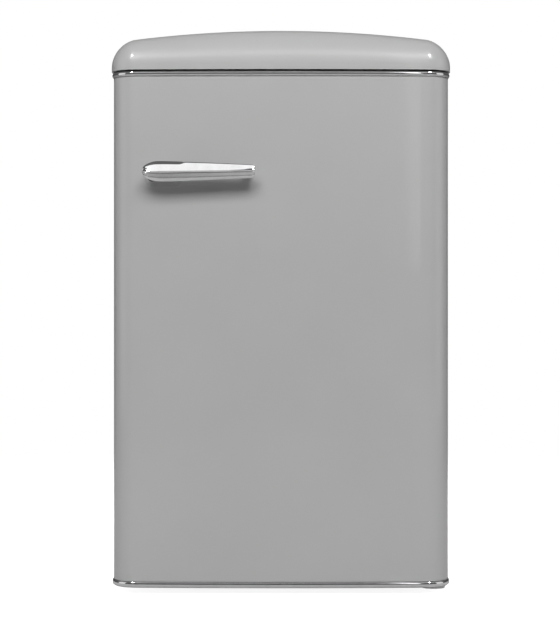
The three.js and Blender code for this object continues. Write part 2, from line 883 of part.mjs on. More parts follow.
function iceBox() {
  const side = iceBoxWidth / 2;
  const back = iceBoxFront + iceBoxDepth;
  const sleeve = (inset, y0, y1) =>
    frontBlock(side - inset, iceBoxBottom + inset, iceBoxTop - inset, y0, y1, iceBoxRounding - inset);
  const ears = [-1, 1].map((s) => {
    const [x0, x1] = s < 0 ? [-side, -side + earThickness] : [side - earThickness, side];
    return box(x0, x1, flapPivotY - 5, iceBoxFront + 4, iceBoxBottom + 2, flapPivotZ + 12);
  });
  const hangers = [-120, 120].map((x) =>
    box(x - 12, x + 12, iceBoxFront + 20, back - 20, iceBoxTop - 1, cavityTop - clearance),
  );
  const pinHole = cylinder(
    flapPinRadius + clearance,
    v3(-side - 5, flapPivotY, flapPivotZ),
    v3(side + 5, flapPivotY, flapPivotZ),
    12,
  );
  const body = build(
    [sleeve(0, iceBoxFront, back)],
    [sleeve(iceBoxWall, iceBoxFront - 5, back - iceBoxWall)],
  );
  return build([body, ...ears, ...hangers], [pinHole]);
}

function iceFlap() {
  const side = iceBoxWidth / 2 - earThickness - 1;
  const r = flapThickness / 2;
  const profile = [
    ...arc(flapPivotY, flapPivotZ, r, Math.PI, 2 * Math.PI, 8),
    v2(flapPivotY + r, flapTop),
    v2(flapPivotY - r + 2, flapTop),
    v2(flapPivotY - r, flapTop - 2),
  ];
  const pinEnd = side + earThickness - 1;
  const pin = cylinder(
    flapPinRadius,
    v3(-pinEnd, flapPivotY, flapPivotZ),
    v3(pinEnd, flapPivotY, flapPivotZ),
    12,
  );
  const grip = prism(
    "x",
    [
      v2(flapPivotY - r + 1, flapTop - 6),
      v2(flapPivotY - r - 7, flapTop - 9),
      v2(flapPivotY - r - 7, flapTop - 13),
      v2(flapPivotY - r + 1, flapTop - 22),
    ],
    -60,
    60,
  );
  return build([prism("x", profile, -side, side), pin, grip]);
}

const glassPane = (z) => box(-shelfHalf, shelfHalf, shelfFront, shelfBack, z, z + shelfGlass);

// A U-shaped strip pushed on to the front edge of a pane.
function shelfTrim(z) {
  const [y0, y1] = [shelfFront - 4, shelfFront - 4 + trimDepth];
  const [low, high] = [z + trimTop - trimHeight, z + trimTop];
  const profile = rounded([v2(y0, low), v2(y1, low), v2(y1, high), v2(y0, high)], [2.5, 0, 0, 2.5]);
  const side = shelfHalf - ribWidth - 1;
  const slot = box(-half, half, shelfFront - clearance, y1 + 5, z - clearance, z + shelfGlass + clearance);
  return build([prism("x", profile, -side, side)], [slot]);
}

// An open tray with draught-free upright walls.
function tray(x0, x1, y0, y1, z0, z1, wall) {
  const outer = prism("z", rounded(rectangle(x0, x1, y0, y1), 6), z0, z1);
  const inner = prism(
    "z",
    rounded(rectangle(x0 + wall, x1 - wall, y0 + wall, y1 - wall), 4),
    z0 + wall,
    z1 + 10,
  );
  return [outer, inner];
}

function crisper() {
  const side = cavityHalf - crisperSideGap;
  const front = cabinetFront + crisperSetback;
  const [low, high] = [cavityFloor + 2, coverGlassZ - ribHeight - 4];
  const [outer, inner] = tray(-side, side, front, stepFront - crisperRearGap, low, high, crisperWall);
  const lip = prism(
    "x",
    [
      v2(front + 1, high - 30),
      v2(front + 1, high),
      v2(front - crisperLipDepth, high),
      v2(front - crisperLipDepth, high - 8),
    ],
    -70,
    70,
  );
  return build([outer, lip], [inner]);
}

function doorRack(name) {
  const low = rackFloors[name];
  const [outer, inner] = tray(
    -rackHalf,
    rackHalf,
    rackBackY,
    rackFrontY,
    low,
    low + rackHeights[name],
    rackWall,
  );
  const dip = rackHeights[name] * 0.25;
  const window = box(-rackHalf + 24, rackHalf - 24, rackBackY - 5, rackBackY + 8, low + dip, low + 200);
  return build([outer], [inner, window]);
}

// ---------------------------------------------------------------- thermostat, lamp and switch

const lensY = [housingFront + 36, housingFront + 74];
const lensZ = [housingZ - 27, housingZ + 27];
const knobY = housingFront + 104;
const switchX = dykeHalf - 5;

function controlHousing() {
  const outline = rounded(
    rectangle(
      housingFront,
      housingFront + housingLength,
      housingZ - housingHeight / 2,
      housingZ + housingHeight / 2,
    ),
    6,
  );
  const block = prism("x", outline, housingFace, cavityHalf - clearance);
  const pocket = box(housingFace - 5, cavityHalf - 4, lensY[0] + 3, lensY[1] - 3, lensZ[0] + 3, lensZ[1] - 3);
  const bore = cylinder(
    switchRadius + clearance,
    v3(switchX, housingFront - 5, housingZ),
    v3(switchX, housingFront + 26, housingZ),
  );
  return build([block], [pocket, bore]);
}

function lampCover() {
  const outline = rounded(rectangle(...lensY, ...lensZ), 5);
  const inner = rounded(rectangle(lensY[0] + 2, lensY[1] - 2, lensZ[0] + 2, lensZ[1] - 2), 3);
  const face = housingFace - clearance;
  const block = prism("x", outline, face - 8, face);
  return build([block], [prism("x", inner, face - 6, face + 5)]);
}

function lampBulb() {
  const x = housingFace + 9;
  const y = (lensY[0] + lensY[1]) / 2;
  const profile = [v2(0, -20), v2(5, -20), v2(5, -8), v2(7, 0), v2(6.4, 8), v2(4, 13), v2(0, 15)];
  return turned(profile, v3(x, y, housingZ), 14);
}

function thermostatKnob() {
  const g = turned(
    [
      v2(0, 0),
      v2(knobRadius, 0),
      v2(knobRadius, knobDepth - 2),
      v2(knobRadius - 2, knobDepth),
      v2(0, knobDepth),
    ],
    v3(0, 0, 0),
    24,
  );
  g.rotateY(-Math.PI / 2).translate(housingFace - clearance, knobY, housingZ);
  const face = housingFace - clearance - knobDepth;
  const bar = box(
    face - 4,
    face + 1,
    knobY - 3,
    knobY + 3,
    housingZ - knobRadius + 3,
    housingZ + knobRadius - 3,
  );
  return build([g, bar]);
}

function lightSwitch() {
  const tip = dykeTip + switchGap;
  return cylinder(switchRadius, v3(switchX, tip, housingZ), v3(switchX, housingFront + 16, housingZ));
}

// ---------------------------------------------------------------- machinery

function compressor() {
  const r = compressorRadius;
  const h = compressorHeight;
  const profile = [
    v2(0, 0),
    v2(r * 0.62, 0),
    v2(r * 0.9, 10),
    v2(r, 26),
    v2(r, h * 0.52),
    v2(r + 4, h * 0.52),
    v2(r + 4, h * 0.52 + 4),
    v2(r, h * 0.52 + 4),
    v2(r * 0.97, h * 0.74),
    v2(r * 0.82, h * 0.9),
    v2(r * 0.5, h * 0.98),
    v2(0, h),
  ];
  const pot = turned(profile, v3(compressorX, compressorY, compressorBase), 24);
  const ears = rounded(
    rectangle(compressorX - 84, compressorX + 84, compressorY - 52, compressorY + 52),
    12,
  );
  return build([pot, prism("z", ears, compressorBase, compressorBase + 3)]);
}

const grommets = [-1, 1].flatMap((i) =>
  [-1, 1].map((j) => ({ x: compressorX + 70 * i, y: compressorY + 38 * j })),
);

function grommet({ x, y }) {
  const r = grommetRadius;
  const profile = [
    v2(0, 0),
    v2(r, 0),
    v2(r, 4),
    v2(r - 3, 5),
    v2(r - 3, 7),
    v2(r, 8),
    v2(r, grommetHeight),
    v2(0, grommetHeight),
  ];
  return turned(profile, v3(x, y, plateTop + clearance), 14);
}

const terminalX = compressorX - compressorRadius - 4 - clearance;

function terminalCover() {
  const outline = rounded(
    rectangle(terminalX - 36, terminalX, compressorY - 28, compressorY + 28),
    [6, 0, 0, 6],
  );
  return prism("z", outline, compressorBase + 34, compressorBase + 104);
}

function dripTray() {
  const low = compressorTop + clearance;
  const [outer, inner] = tray(
    compressorX - 66,
    compressorX + 66,
    compressorY - 58,
    compressorY + 52,
    low,
    low + trayHeight,
    trayWall,
  );
  return build([outer], [inner]);
}

function drainTube() {
  const top = stepTop - clearance;
  const low = compressorTop + 10;
  const [r, bore] = [drainRadius, drainRadius - 1.5];
  const profile = [v2(bore, low), v2(r, low), v2(r, top), v2(bore, top), v2(bore, low)];
  return turned(profile, v3(drainX, drainY, 0), 16);
}

// The condenser tube: straight passes joined by half turns, with a leg at each end.
const wireBack = rearMost - wireSize;
const coilY = wireBack - clearance - coilRadius;
const coilLow = bayTop + coilMargin;
const coilHigh = cabinetTop - 38;
const passPitch = (coilHigh - coilLow) / (coilPasses - 1);
const turnRadius = passPitch / 2;
const inletX = coilHalfWidth + turnRadius;
const outletX = -coilHalfWidth - turnRadius - 16;
const [gridLow, gridHigh, gridRail] = [coilLow - 12, coilHigh + 12, 4];

function condenserCoil() {
  const flat = [v2(inletX, coilLow - 2 * turnRadius)];
  flat.push(...arc(coilHalfWidth, coilLow - turnRadius, turnRadius, 0, Math.PI / 2, 4));
  for (let pass = 0; pass < coilPasses - 1; pass++) {
    const side = pass % 2 ? 1 : -1;
    const z = coilLow + (pass + 0.5) * passPitch;
    const start = -Math.PI / 2;
    flat.push(...arc(side * coilHalfWidth, z, turnRadius, start, start + side * Math.PI, 6));
  }
  const corner = arc(outletX + turnRadius, coilHigh - turnRadius, turnRadius, Math.PI / 2, Math.PI, 4);
  flat.push(...corner);
  const points = flat.map((p) => v3(p.x, coilY, p.y));
  points.push(
    v3(outletX, coilY, coilLow + 20),
    v3(outletX, drierY + 2, coilLow - 14),
    v3(outletX, drierY, coilLow - 30),
  );
  return pipe(points, coilRadius, 6);
}

function condenserWires() {
  const side = coilHalfWidth + turnRadius + 6;
  const [low, high] = [gridLow, gridHigh];
  const [pitch, rail] = [(2 * side - wireSize) / (wireCount - 1), gridRail];
  const slots = Array.from({ length: wireCount - 1 }, (_, i) => {
    const x = -side + wireSize + i * pitch;
    return box(x, x + pitch - wireSize, wireBack - 5, rearMost + 5, low + rail, high - rail);
  });
  return build([box(-side, side, wireBack, rearMost, low, high)], slots);
}

const drierY = cabinetBack + 16;

function filterDrier() {
  const top = coilLow - 30 - clearance;
  const profile = [
    v2(0, -90),
    v2(2.4, -90),
    v2(2.4, -82),
    v2(8, -74),
    v2(8, -14),
    v2(2.6, -6),
    v2(2.6, 0),
    v2(0, 0),
  ];
  return turned(profile, v3(outletX, drierY, top), 14);
}

function dischargePipe() {
  const x0 = compressorX + compressorRadius + clearance + 0.5;
  const z0 = compressorBase + 60;
  return pipe(
    [
      v3(x0, compressorY, z0),
      v3(x0 + 26, compressorY, z0),
      v3(x0 + 42, compressorY + 8, z0),
      v3(x0 + 50, compressorY + 26, z0 + 4),
      v3(x0 + 54, compressorY + 62, z0 + 14),
      v3(x0 + 62, coilY - 14, z0 + 30),
      v3(inletX - 6, coilY - 4, z0 + 52),
      v3(inletX, coilY, z0 + 76),
      v3(inletX, coilY, coilLow - 2 * turnRadius - clearance),
    ],
    3,
  );
}

function suctionPipe() {
  const [x, y] = [compressorX + 84, compressorY + 40];
  const top = bayTop - steelSheet - clearance;
  const reachOut = compressorRadius + 3.4;
  const angle = 0.62;
  const z = compressorBase + 46;
  const meet = v3(compressorX + reachOut * Math.cos(angle), compressorY + reachOut * Math.sin(angle), z);
  return pipe(
    [
      v3(x, y, top),
      v3(x, y, z + 42),
      v3(x - 2, y, z + 18),
      v3(x - 10, y - 2, z + 4),
      meet.clone().add(v3(9, 1.5, 0)),
      meet,
    ],
    3,
  );
}

// ---------------------------------------------------------------- feet

const footY = cabinetFront + footSetback;
const frontFeet = [
  { name: "foot_front_left", x: -half + footInset },
  { name: "foot_front_right", x: half - footInset },
];
const rearFeet = [
  { name: "foot_rear_left", x: -half + footInset },
  { name: "foot_rear_right", x: half - footInset },
];

function levellingFoot(x) {
  const [r, s] = [footRadius, footStemRadius];
  const profile = [
    v2(0, 0),
    v2(r - 1.5, 0),
    v2(r, 1.5),
    v2(r, footPad),
    v2(s + 3, footPad + 3),
    v2(s + 3, footPad + 8),
    v2(s, footPad + 8),
    v2(s, footStem),
    v2(0, footStem),
  ];
  return turned(profile, v3(x, footY, 0), 20);
}

function fixedFoot(x) {
  const r = footRadius - 2;
  const top = baseClearance - clearance;
  return turned(
    [v2(0, 0), v2(r - 1.5, 0), v2(r, 1.5), v2(r + 3, top), v2(0, top)],
    v3(x, cabinetBack - 34, 0),
    20,
  );
}

// ---------------------------------------------------------------- assembly

add("cabinet_shell", "greyPaint", cabinetShell());
add("back_panel", "zincSteel", backPanel());
add("insulation_foam", "foam", insulation());
add("inner_liner", "whitePlastic", innerLiner());
add("base_frame", "zincSteel", baseFrame());
add("floor_panel", "zincSteel", floorPanel());
add("compressor_plate", "zincSteel", compressorPlate());
add("top_cover", "greyPaint", topCover());
add("cover_bottom_panel", "greyPlastic", coverPanel());
add("upper_hinge", "zincSteel", upperHinge());
add("lower_hinge", "zincSteel", lowerHinge());

add("ice_box", "aluminium", iceBox());
add("ice_box_flap", "whitePlastic", iceFlap());
shelfHeights.forEach((z, i) => {
  const name = ["crisper_cover", "lower_shelf", "upper_shelf"][i] ?? `shelf_${i}`;
  add(`${name}_glass`, "glass", glassPane(z));
  add(`${name}_trim`, "whitePlastic", shelfTrim(z));
});
add("crisper_drawer", "clearPlastic", crisper());

add("control_housing", "whitePlastic", controlHousing());
add("lamp_cover", "clearPlastic", lampCover());
add("lamp_bulb", "bulb", lampBulb());
add("thermostat_knob", "whitePlastic", thermostatKnob());
add("light_switch", "whitePlastic", lightSwitch());

add("compressor", "blackSteel", compressor());
grommets.forEach((at, i) => add(`compressor_grommet_${i + 1}`, "rubber", grommet(at)));
add("compressor_terminal_cover", "blackPlastic", terminalCover());
add("drip_tray", "blackPlastic", dripTray());
add("drain_tube", "whitePlastic", drainTube());
add("condenser_tube", "blackSteel", condenserCoil());
add("condenser_wires", "blackSteel", condenserWires());
add("filter_drier", "copper", filterDrier());
add("discharge_pipe", "copper", dischargePipe());
add("suction_pipe", "copper", suctionPipe());

frontFeet.forEach(({ name, x }) => add(name, "blackPlastic", levellingFoot(x)));
rearFeet.forEach(({ name, x }) => add(name, "blackPlastic", fixedFoot(x)));

const door = new THREE.Group();
fridge.add(door);
add("door_skin", "greyPaint", doorSkin(), door);
add("door_foam", "foam", doorFoam(), door);
add("door_liner", "whitePlastic", doorLiner(), door);
add("door_gasket", "seal", doorGasket(), door);
add("door_bottom_cap", "greyPlastic", doorCap(doorBottom), door);
add("door_top_cap", "greyPlastic", doorCap(doorTop - capHeight), door);
add("door_bottom_band", "chrome", doorBand(doorBottom - 0.2 + capRim, bottomBandHeight), door);
add("door_top_band", "chrome", doorBand(doorTop - 0.2 - bandHeight, bandHeight), door);
add("door_bush_lower", "whitePlastic", bush(doorBottom), door);
add("door_bush_upper", "whitePlastic", bush(doorTop - bushLength - clearance), door);
add("handle_bar", "chrome", handleBar(), door);
add("handle_foot_left", "chrome", handleFoot(6, 58, -17, 11, 6), door);
add("handle_foot_right", "chrome", handleFoot(156, 172, -10, 6, 2), door);
for (const name of Object.keys(rackFloors)) {
  add(`${name}_rack`, "clearPlastic", doorRack(name), door);
}

export default fridge;
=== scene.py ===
"""A retro under-counter fridge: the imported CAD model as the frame, with fine meshes and
procedural finishes over it. Metres, +Z up, the door faces -Y."""

import json
import math

import bmesh
import bpy
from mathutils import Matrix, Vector


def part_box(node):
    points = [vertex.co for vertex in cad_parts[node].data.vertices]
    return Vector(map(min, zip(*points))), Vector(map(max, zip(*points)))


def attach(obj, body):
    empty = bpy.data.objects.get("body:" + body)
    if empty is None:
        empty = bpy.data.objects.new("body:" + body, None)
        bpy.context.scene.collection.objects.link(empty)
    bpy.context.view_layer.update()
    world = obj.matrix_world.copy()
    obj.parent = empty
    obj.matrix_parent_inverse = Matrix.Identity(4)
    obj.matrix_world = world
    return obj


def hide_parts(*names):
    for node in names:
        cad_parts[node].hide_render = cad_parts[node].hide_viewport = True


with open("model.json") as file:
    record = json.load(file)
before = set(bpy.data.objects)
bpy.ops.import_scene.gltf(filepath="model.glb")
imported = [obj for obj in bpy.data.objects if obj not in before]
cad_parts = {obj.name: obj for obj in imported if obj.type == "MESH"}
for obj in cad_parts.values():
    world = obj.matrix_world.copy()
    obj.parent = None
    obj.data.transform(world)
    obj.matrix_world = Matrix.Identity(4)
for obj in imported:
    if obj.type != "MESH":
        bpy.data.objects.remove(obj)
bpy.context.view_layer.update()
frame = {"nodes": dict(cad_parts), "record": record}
nodes = frame["nodes"]

# ---------------------------------------------------------------- sizes

MM = 0.001
DOOR_CORNER = 38 * MM
DOOR_BOW = 5 * MM
COVER_PROUD = 3.5 * MM
COVER_WALL = 3 * MM
COVER_SHOULDER = 7 * MM
CROWN_RADIUS = 2040 * MM
BAND_PROUD = 2.5 * MM
BAND_GAP = 0.3 * MM

skin_low, skin_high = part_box("door_skin")
cover_low, cover_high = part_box("top_cover")
HALF = skin_high.x
DOOR_FRONT = skin_low.y
DOOR_BACK = skin_high.y
CABINET_FRONT = DOOR_BACK + 9 * MM
COVER_ROUNDING = DOOR_CORNER + 2 * MM
BOW_RADIUS = ((HALF - DOOR_CORNER) ** 2 + DOOR_BOW**2) / (2 * DOOR_BOW)


# ---------------------------------------------------------------- finishes


class Finish:
    """A material with one Principled shader, and the procedural textures that feed it."""

    def __init__(self, name, colour, roughness, metallic=0.0, **inputs):
        self.material = bpy.data.materials.new(name)
        self.material.use_nodes = True
        self.nodes = self.material.node_tree.nodes
        self.links = self.material.node_tree.links
        self.shader = self.nodes["Principled BSDF"]
        self.shader.inputs["Base Color"].default_value = (*colour, 1)
        self.shader.inputs["Roughness"].default_value = roughness
        self.shader.inputs["Metallic"].default_value = metallic
        for key, value in inputs.items():
            self.shader.inputs[key.replace("_", " ")].default_value = value
        self.place = self.nodes.new("ShaderNodeTexCoord").outputs["Object"]

    def stretched(self, scale):
        """Object coordinates, scaled by a different amount along each axis."""
        mapping = self.nodes.new("ShaderNodeMapping")
        mapping.inputs["Scale"].default_value = scale
        self.links.new(self.place, mapping.inputs["Vector"])
        return mapping.outputs["Vector"]

    def noise(self, scale, detail=3.0, stretch=(1, 1, 1), distortion=0.0):
        node = self.nodes.new("ShaderNodeTexNoise")
        node.inputs["Scale"].default_value = scale
        node.inputs["Detail"].default_value = detail
        node.inputs["Distortion"].default_value = distortion
        self.links.new(self.stretched(stretch), node.inputs["Vector"])
        return node.outputs["Fac"]

    def cells(self, scale, output="Distance"):
        node = self.nodes.new("ShaderNodeTexVoronoi")
        node.inputs["Scale"].default_value = scale
        self.links.new(self.place, node.inputs["Vector"])
        return node.outputs[output]

    def spread(self, value, low, high, start=0.3, stop=0.7):
        """A texture's values from start to stop become low to high."""
        node = self.nodes.new("ShaderNodeMapRange")
        self.links.new(value, node.inputs["Value"])
        for key, number in zip(("From Min", "From Max", "To Min", "To Max"), (start, stop, low, high)):
            node.inputs[key].default_value = number
        return node.outputs["Result"]

    def tint(self, factor, dark, light):
        """The base colour runs from dark to light with a texture."""
        node = self.nodes.new("ShaderNodeMix")
        node.data_type = "RGBA"
        self.links.new(factor, node.inputs["Factor"])
        node.inputs["A"].default_value = (*dark, 1)
        node.inputs["B"].default_value = (*light, 1)
        self.links.new(node.outputs["Result"], self.shader.inputs["Base Color"])
        return self

    def rough(self, factor, low, high):
        self.links.new(self.spread(factor, low, high), self.shader.inputs["Roughness"])
        return self

    def bump(self, height, strength, depth):
        node = self.nodes.new("ShaderNodeBump")
        node.inputs["Strength"].default_value = strength
        node.inputs["Distance"].default_value = depth
        self.links.new(height, node.inputs["Height"])
        earlier = self.shader.inputs["Normal"].links
        if earlier:
            self.links.new(earlier[0].from_socket, node.inputs["Normal"])
        self.links.new(node.outputs["Normal"], self.shader.inputs["Normal"])
        return self


def grey(value):
    return (value, value, value)


def shade(colour, factor):
    return tuple(c * factor for c in colour)


def enamel(name, tone):
    """Baked grey enamel: a faint orange peel under a clear gloss, hardly uneven in colour."""
    finish = Finish(name, grey(tone), 0.32, Coat_Weight=0.55, Coat_Roughness=0.06)
    finish.tint(finish.spread(finish.noise(7), 0, 1), grey(tone * 0.985), grey(tone * 1.015))
    finish.rough(finish.noise(26, 4), 0.29, 0.36)
    finish.bump(finish.noise(420, 2), 0.05, 0.3 * MM)
    return finish.bump(finish.noise(38, 1), 0.02, 0.6 * MM)


def chrome():
    """Bright plating with a trace of haze and of fine wiping marks."""
    finish = Finish("chrome", (0.86, 0.86, 0.87), 0.05, 1.0)
    finish.tint(finish.spread(finish.noise(60, 4), 0, 1), grey(0.80), (0.88, 0.88, 0.89))
    finish.rough(finish.noise(90, 5), 0.035, 0.09)
    return finish.bump(finish.noise(900, 2, stretch=(0.1, 1, 1)), 0.015, 0.1 * MM)


def moulded(name, colour, roughness=0.33, grain=320.0):
    """Injection-moulded plastic: a fine satin grain, slightly warmer and duller in patches."""
    finish = Finish(name, colour, roughness, IOR=1.5)
    finish.tint(finish.spread(finish.noise(5, 1), 0, 1, 0.2, 0.8), shade(colour, 0.975), colour)
    finish.rough(finish.noise(12, 1), roughness - 0.02, roughness + 0.02)
    return finish.bump(finish.noise(grain, 1), 0.03, 0.12 * MM)


def clear_plastic():
    """Transparent polystyrene, a little milky, with flow marks."""
    colour = (0.90, 0.94, 0.95)
    finish = Finish("clear_plastic", colour, 0.12, IOR=1.45, Transmission_Weight=0.86)
    finish.tint(finish.spread(finish.noise(14, distortion=1.5), 0, 1), shade(colour, 0.93), colour)
    finish.rough(finish.noise(30, 4), 0.08, 0.2)
    return finish.bump(finish.noise(60, 2, stretch=(1, 1, 3)), 0.04, 0.4 * MM)


def shelf_glass():
    """Toughened float glass, greenish where it is thick, with a faint roller wave."""
    finish = Finish("shelf_glass", (0.83, 0.94, 0.89), 0.02, IOR=1.52, Transmission_Weight=0.94)
    finish.tint(finish.spread(finish.noise(5), 0, 1), (0.76, 0.92, 0.86), (0.86, 0.95, 0.91))
    finish.rough(finish.noise(18, 3), 0.01, 0.05)
    return finish.bump(finish.noise(3, 1, stretch=(1, 6, 1)), 0.02, 1 * MM)


def foam():
    """Cut polyurethane foam: open cells and yellow-brown patches."""
    finish = Finish("foam", (0.72, 0.60, 0.34), 0.9)
    finish.tint(finish.spread(finish.noise(30, 5), 0, 1), (0.55, 0.42, 0.20), (0.80, 0.70, 0.45))
    return finish.bump(finish.cells(700), 0.5, 0.6 * MM)


def vinyl_seal():
    finish = Finish("vinyl_seal", grey(0.58), 0.55)
    finish.tint(finish.spread(finish.noise(12, 1), 0, 1, 0.2, 0.8), grey(0.56), grey(0.60))
    return finish.bump(finish.noise(500, 3), 0.12, 0.2 * MM)


def rubber():
    finish = Finish("rubber", grey(0.022), 0.75)
    finish.tint(finish.spread(finish.noise(60), 0, 1), grey(0.015), grey(0.035))
    return finish.bump(finish.noise(800, 3), 0.3, 0.15 * MM)


def black_enamel():
    """Dipped black paint over steel: satin, a little dusty and slightly lumpy."""
    finish = Finish("black_enamel", grey(0.02), 0.38)
    finish.tint(finish.spread(finish.noise(22, 5), 0, 1, 0.4, 0.75), grey(0.014), grey(0.045))
    finish.rough(finish.noise(40, 4), 0.28, 0.52)
    return finish.bump(finish.noise(150, 3), 0.12, 0.3 * MM)


def zinc_plate():
    """Galvanised sheet: spangles of slightly different brightness, cloudy in patches."""
    finish = Finish("zinc_plate", grey(0.56), 0.38, 1.0)
    finish.tint(finish.cells(120, output="Color"), grey(0.52), (0.64, 0.65, 0.67))
    finish.rough(finish.noise(16, 5), 0.28, 0.5)
    return finish.bump(finish.noise(300, 3), 0.06, 0.15 * MM)


def rolled_aluminium():
    """Rolled aluminium: long fine lines along X and a dull haze."""
    finish = Finish("rolled_aluminium", (0.78, 0.79, 0.80), 0.35, 1.0)
    lines = finish.noise(260, 4, stretch=(0.03, 1, 1))
    finish.tint(finish.spread(lines, 0, 1), (0.66, 0.67, 0.68), (0.82, 0.83, 0.84))
    finish.rough(finish.noise(20, 4), 0.3, 0.45)
    return finish.bump(lines, 0.06, 0.1 * MM)


def copper():
    """Drawn copper tube, bright in places and browned in others."""
    finish = Finish("copper", (0.75, 0.36, 0.22), 0.3, 1.0)
    finish.tint(finish.spread(finish.noise(70, 5), 0, 1), (0.36, 0.16, 0.09), (0.80, 0.42, 0.27))
    finish.rough(finish.noise(120, 4), 0.2, 0.5)
    return finish.bump(finish.noise(500, 3), 0.08, 0.1 * MM)


def frosted_glass():
    finish = Finish("frosted_glass", (1.0, 0.95, 0.85), 0.35, Transmission_Weight=0.7)
    finish.tint(finish.spread(finish.noise(90), 0, 1), (0.93, 0.87, 0.75), (1.0, 0.97, 0.9))
    return finish.bump(finish.noise(1200, 2), 0.15, 0.1 * MM)


finishes = {
    "grey_paint": enamel("door_enamel", 0.415),
    # The cover has the door's grey enamel, painted lighter here to stand in for the light its upturned crown
    # catches.
    "cover_enamel": enamel("cover_enamel", 0.448),
    "chrome": chrome(),
    "white_plastic": moulded("white_plastic", (0.80, 0.80, 0.78), 0.3),
    "grey_plastic": moulded("grey_plastic", grey(0.30), 0.42, 500),
    "black_plastic": moulded("black_plastic", grey(0.025), 0.45, 500),
    "clear_plastic": clear_plastic(),
    "glass": shelf_glass(),
    "foam": foam(),
    "seal": vinyl_seal(),
    "rubber": rubber(),
    "black_steel": black_enamel(),
    "zinc_steel": zinc_plate(),
    "aluminium": rolled_aluminium(),
    "copper": copper(),
    "bulb": frosted_glass(),
}


# ---------------------------------------------------------------- meshes


def piece(name, slot, body, verts, faces, replaces=(), sharp=35):
    """A mesh object with a slot's finish that rides on a body and stands for CAD nodes."""
    mesh = bpy.data.meshes.new(name)
    mesh.from_pydata([tuple(v) for v in verts], [], faces)
    mesh.validate()
    tidy = bmesh.new()
    tidy.from_mesh(mesh)
    bmesh.ops.remove_doubles(tidy, verts=tidy.verts, dist=0.001 * MM)
    bmesh.ops.recalc_face_normals(tidy, faces=tidy.faces)
    tidy.to_mesh(mesh)
    tidy.free()
    obj = bpy.data.objects.new(name, mesh)
    bpy.context.scene.collection.objects.link(obj)
    soften(obj, sharp)
    mesh.materials.append(finishes[slot].material)
    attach(obj, body)
    if replaces:
        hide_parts(*replaces)
    return obj


def soften(obj, sharp=35):
    obj.data.shade_smooth()
    obj.data.set_sharp_from_angle(angle=math.radians(sharp))


def bevel(obj, width, segments=2, angle=40):
    modifier = obj.modifiers.new("edges", "BEVEL")
    modifier.width = width
    modifier.segments = segments
    modifier.limit_method = "ANGLE"
    modifier.angle_limit = math.radians(angle)
    modifier.harden_normals = True
    return obj


def thicken(obj, wall):
    modifier = obj.modifiers.new("wall", "SOLIDIFY")
    modifier.thickness = wall
    modifier.offset = -1
    return obj


def stitched(rings, caps=True):
    """Vertices and faces of a surface through rings of points."""
    count = len(rings[0])
    verts = [p for ring in rings for p in ring]
    faces = []
    for k in range(len(rings) - 1):
        here, there = k * count, (k + 1) * count
        for i in range(count):
            j = (i + 1) % count
            faces.append((here + i, here + j, there + j, there + i))
    if caps:
        faces.append(tuple(range(count)))
        faces.append(tuple(range((len(rings) - 1) * count, len(rings) * count)))
    return verts, faces


def joined(*parts):
    """Several (vertices, faces) surfaces as one."""
    verts, faces = [], []
    for more_verts, more_faces in parts:
        start = len(verts)
        verts += more_verts
        faces += [tuple(i + start for i in face) for face in more_faces]
    return verts, faces


def arc(cx, cy, radius, start, stop, steps):
    turn = [start + (stop - start) * i / steps for i in range(steps + 1)]
    return [(cx + radius * math.cos(a), cy + radius * math.sin(a)) for a in turn]


def rounded_loop(low, high, corner, steps=6, along=1):
    """A rectangle between two (u, v) corners, with round corners and evenly divided sides."""
    radius = max(corner, 0.01 * MM)
    corners = [
        (high[0] - radius, high[1] - radius, 0),
        (low[0] + radius, high[1] - radius, 90),
        (low[0] + radius, low[1] + radius, 180),
        (high[0] - radius, low[1] + radius, 270),
    ]
    loop = []
    for u, v, turn in corners:
        loop += arc(u, v, radius, math.radians(turn), math.radians(turn + 90), steps)
    spread = []
    for i, here in enumerate(loop):
        there = loop[(i + 1) % len(loop)]
        parts = along if i % (steps + 1) == steps else 1
        for k in range(parts):
            spread.append([a + (b - a) * k / parts for a, b in zip(here, there)])
    return spread


def nested(low, high, corner, sections, place, steps=6, along=1):
    """Rings of one rounded rectangle, each shrunk by an inset and moved to a depth."""
    rings = []
    for inset, depth in sections:
        near = (low[0] + inset, low[1] + inset)
        far = (high[0] - inset, high[1] - inset)
        loop = rounded_loop(near, far, corner - inset, steps, along)
        rings.append([place(u, v, depth) for u, v in loop])
    return rings


def upright(u, v, depth):
    """Places a ring that lies flat, with its depth as height."""
    return Vector((u, v, depth))


def facing(u, v, depth):
    """Places a ring that stands across the depth of the object."""
    return Vector((u, depth, v))


def turned(profile, place, axis=(0, 0, 1), sides=48, ribs=0, rib_depth=0):
    """A profile of (radius, height) turned about an axis through a place, with ribs if asked."""
    frame_turn = Vector(axis).to_track_quat("Z", "Y")
    rings = []
    for radius, height in profile:
        ring = []
        for k in range(sides):
            turn = 2 * math.pi * k / sides
            reach = radius * (1 - rib_depth * (0.5 + 0.5 * math.cos(ribs * turn)) ** 3)
            point = Vector((reach * math.cos(turn), reach * math.sin(turn), height))
            ring.append(frame_turn @ point + place)
        rings.append(ring)
    return stitched(rings)


def swept(points, radius, sides=10):
    """A round tube along a path, with no twist."""
    rings = []
    normal = (points[1] - points[0]).orthogonal().normalized()
    for before, here, after in zip([points[0], *points], points, [*points[1:], points[-1]]):
        along = (after - before).normalized()
        normal = (normal - along * normal.dot(along)).normalized()
        side = along.cross(normal)
        ring = [2 * math.pi * k / sides for k in range(sides)]
        rings.append([here + (normal * math.cos(a) + side * math.sin(a)) * radius for a in ring])
    return stitched(rings)


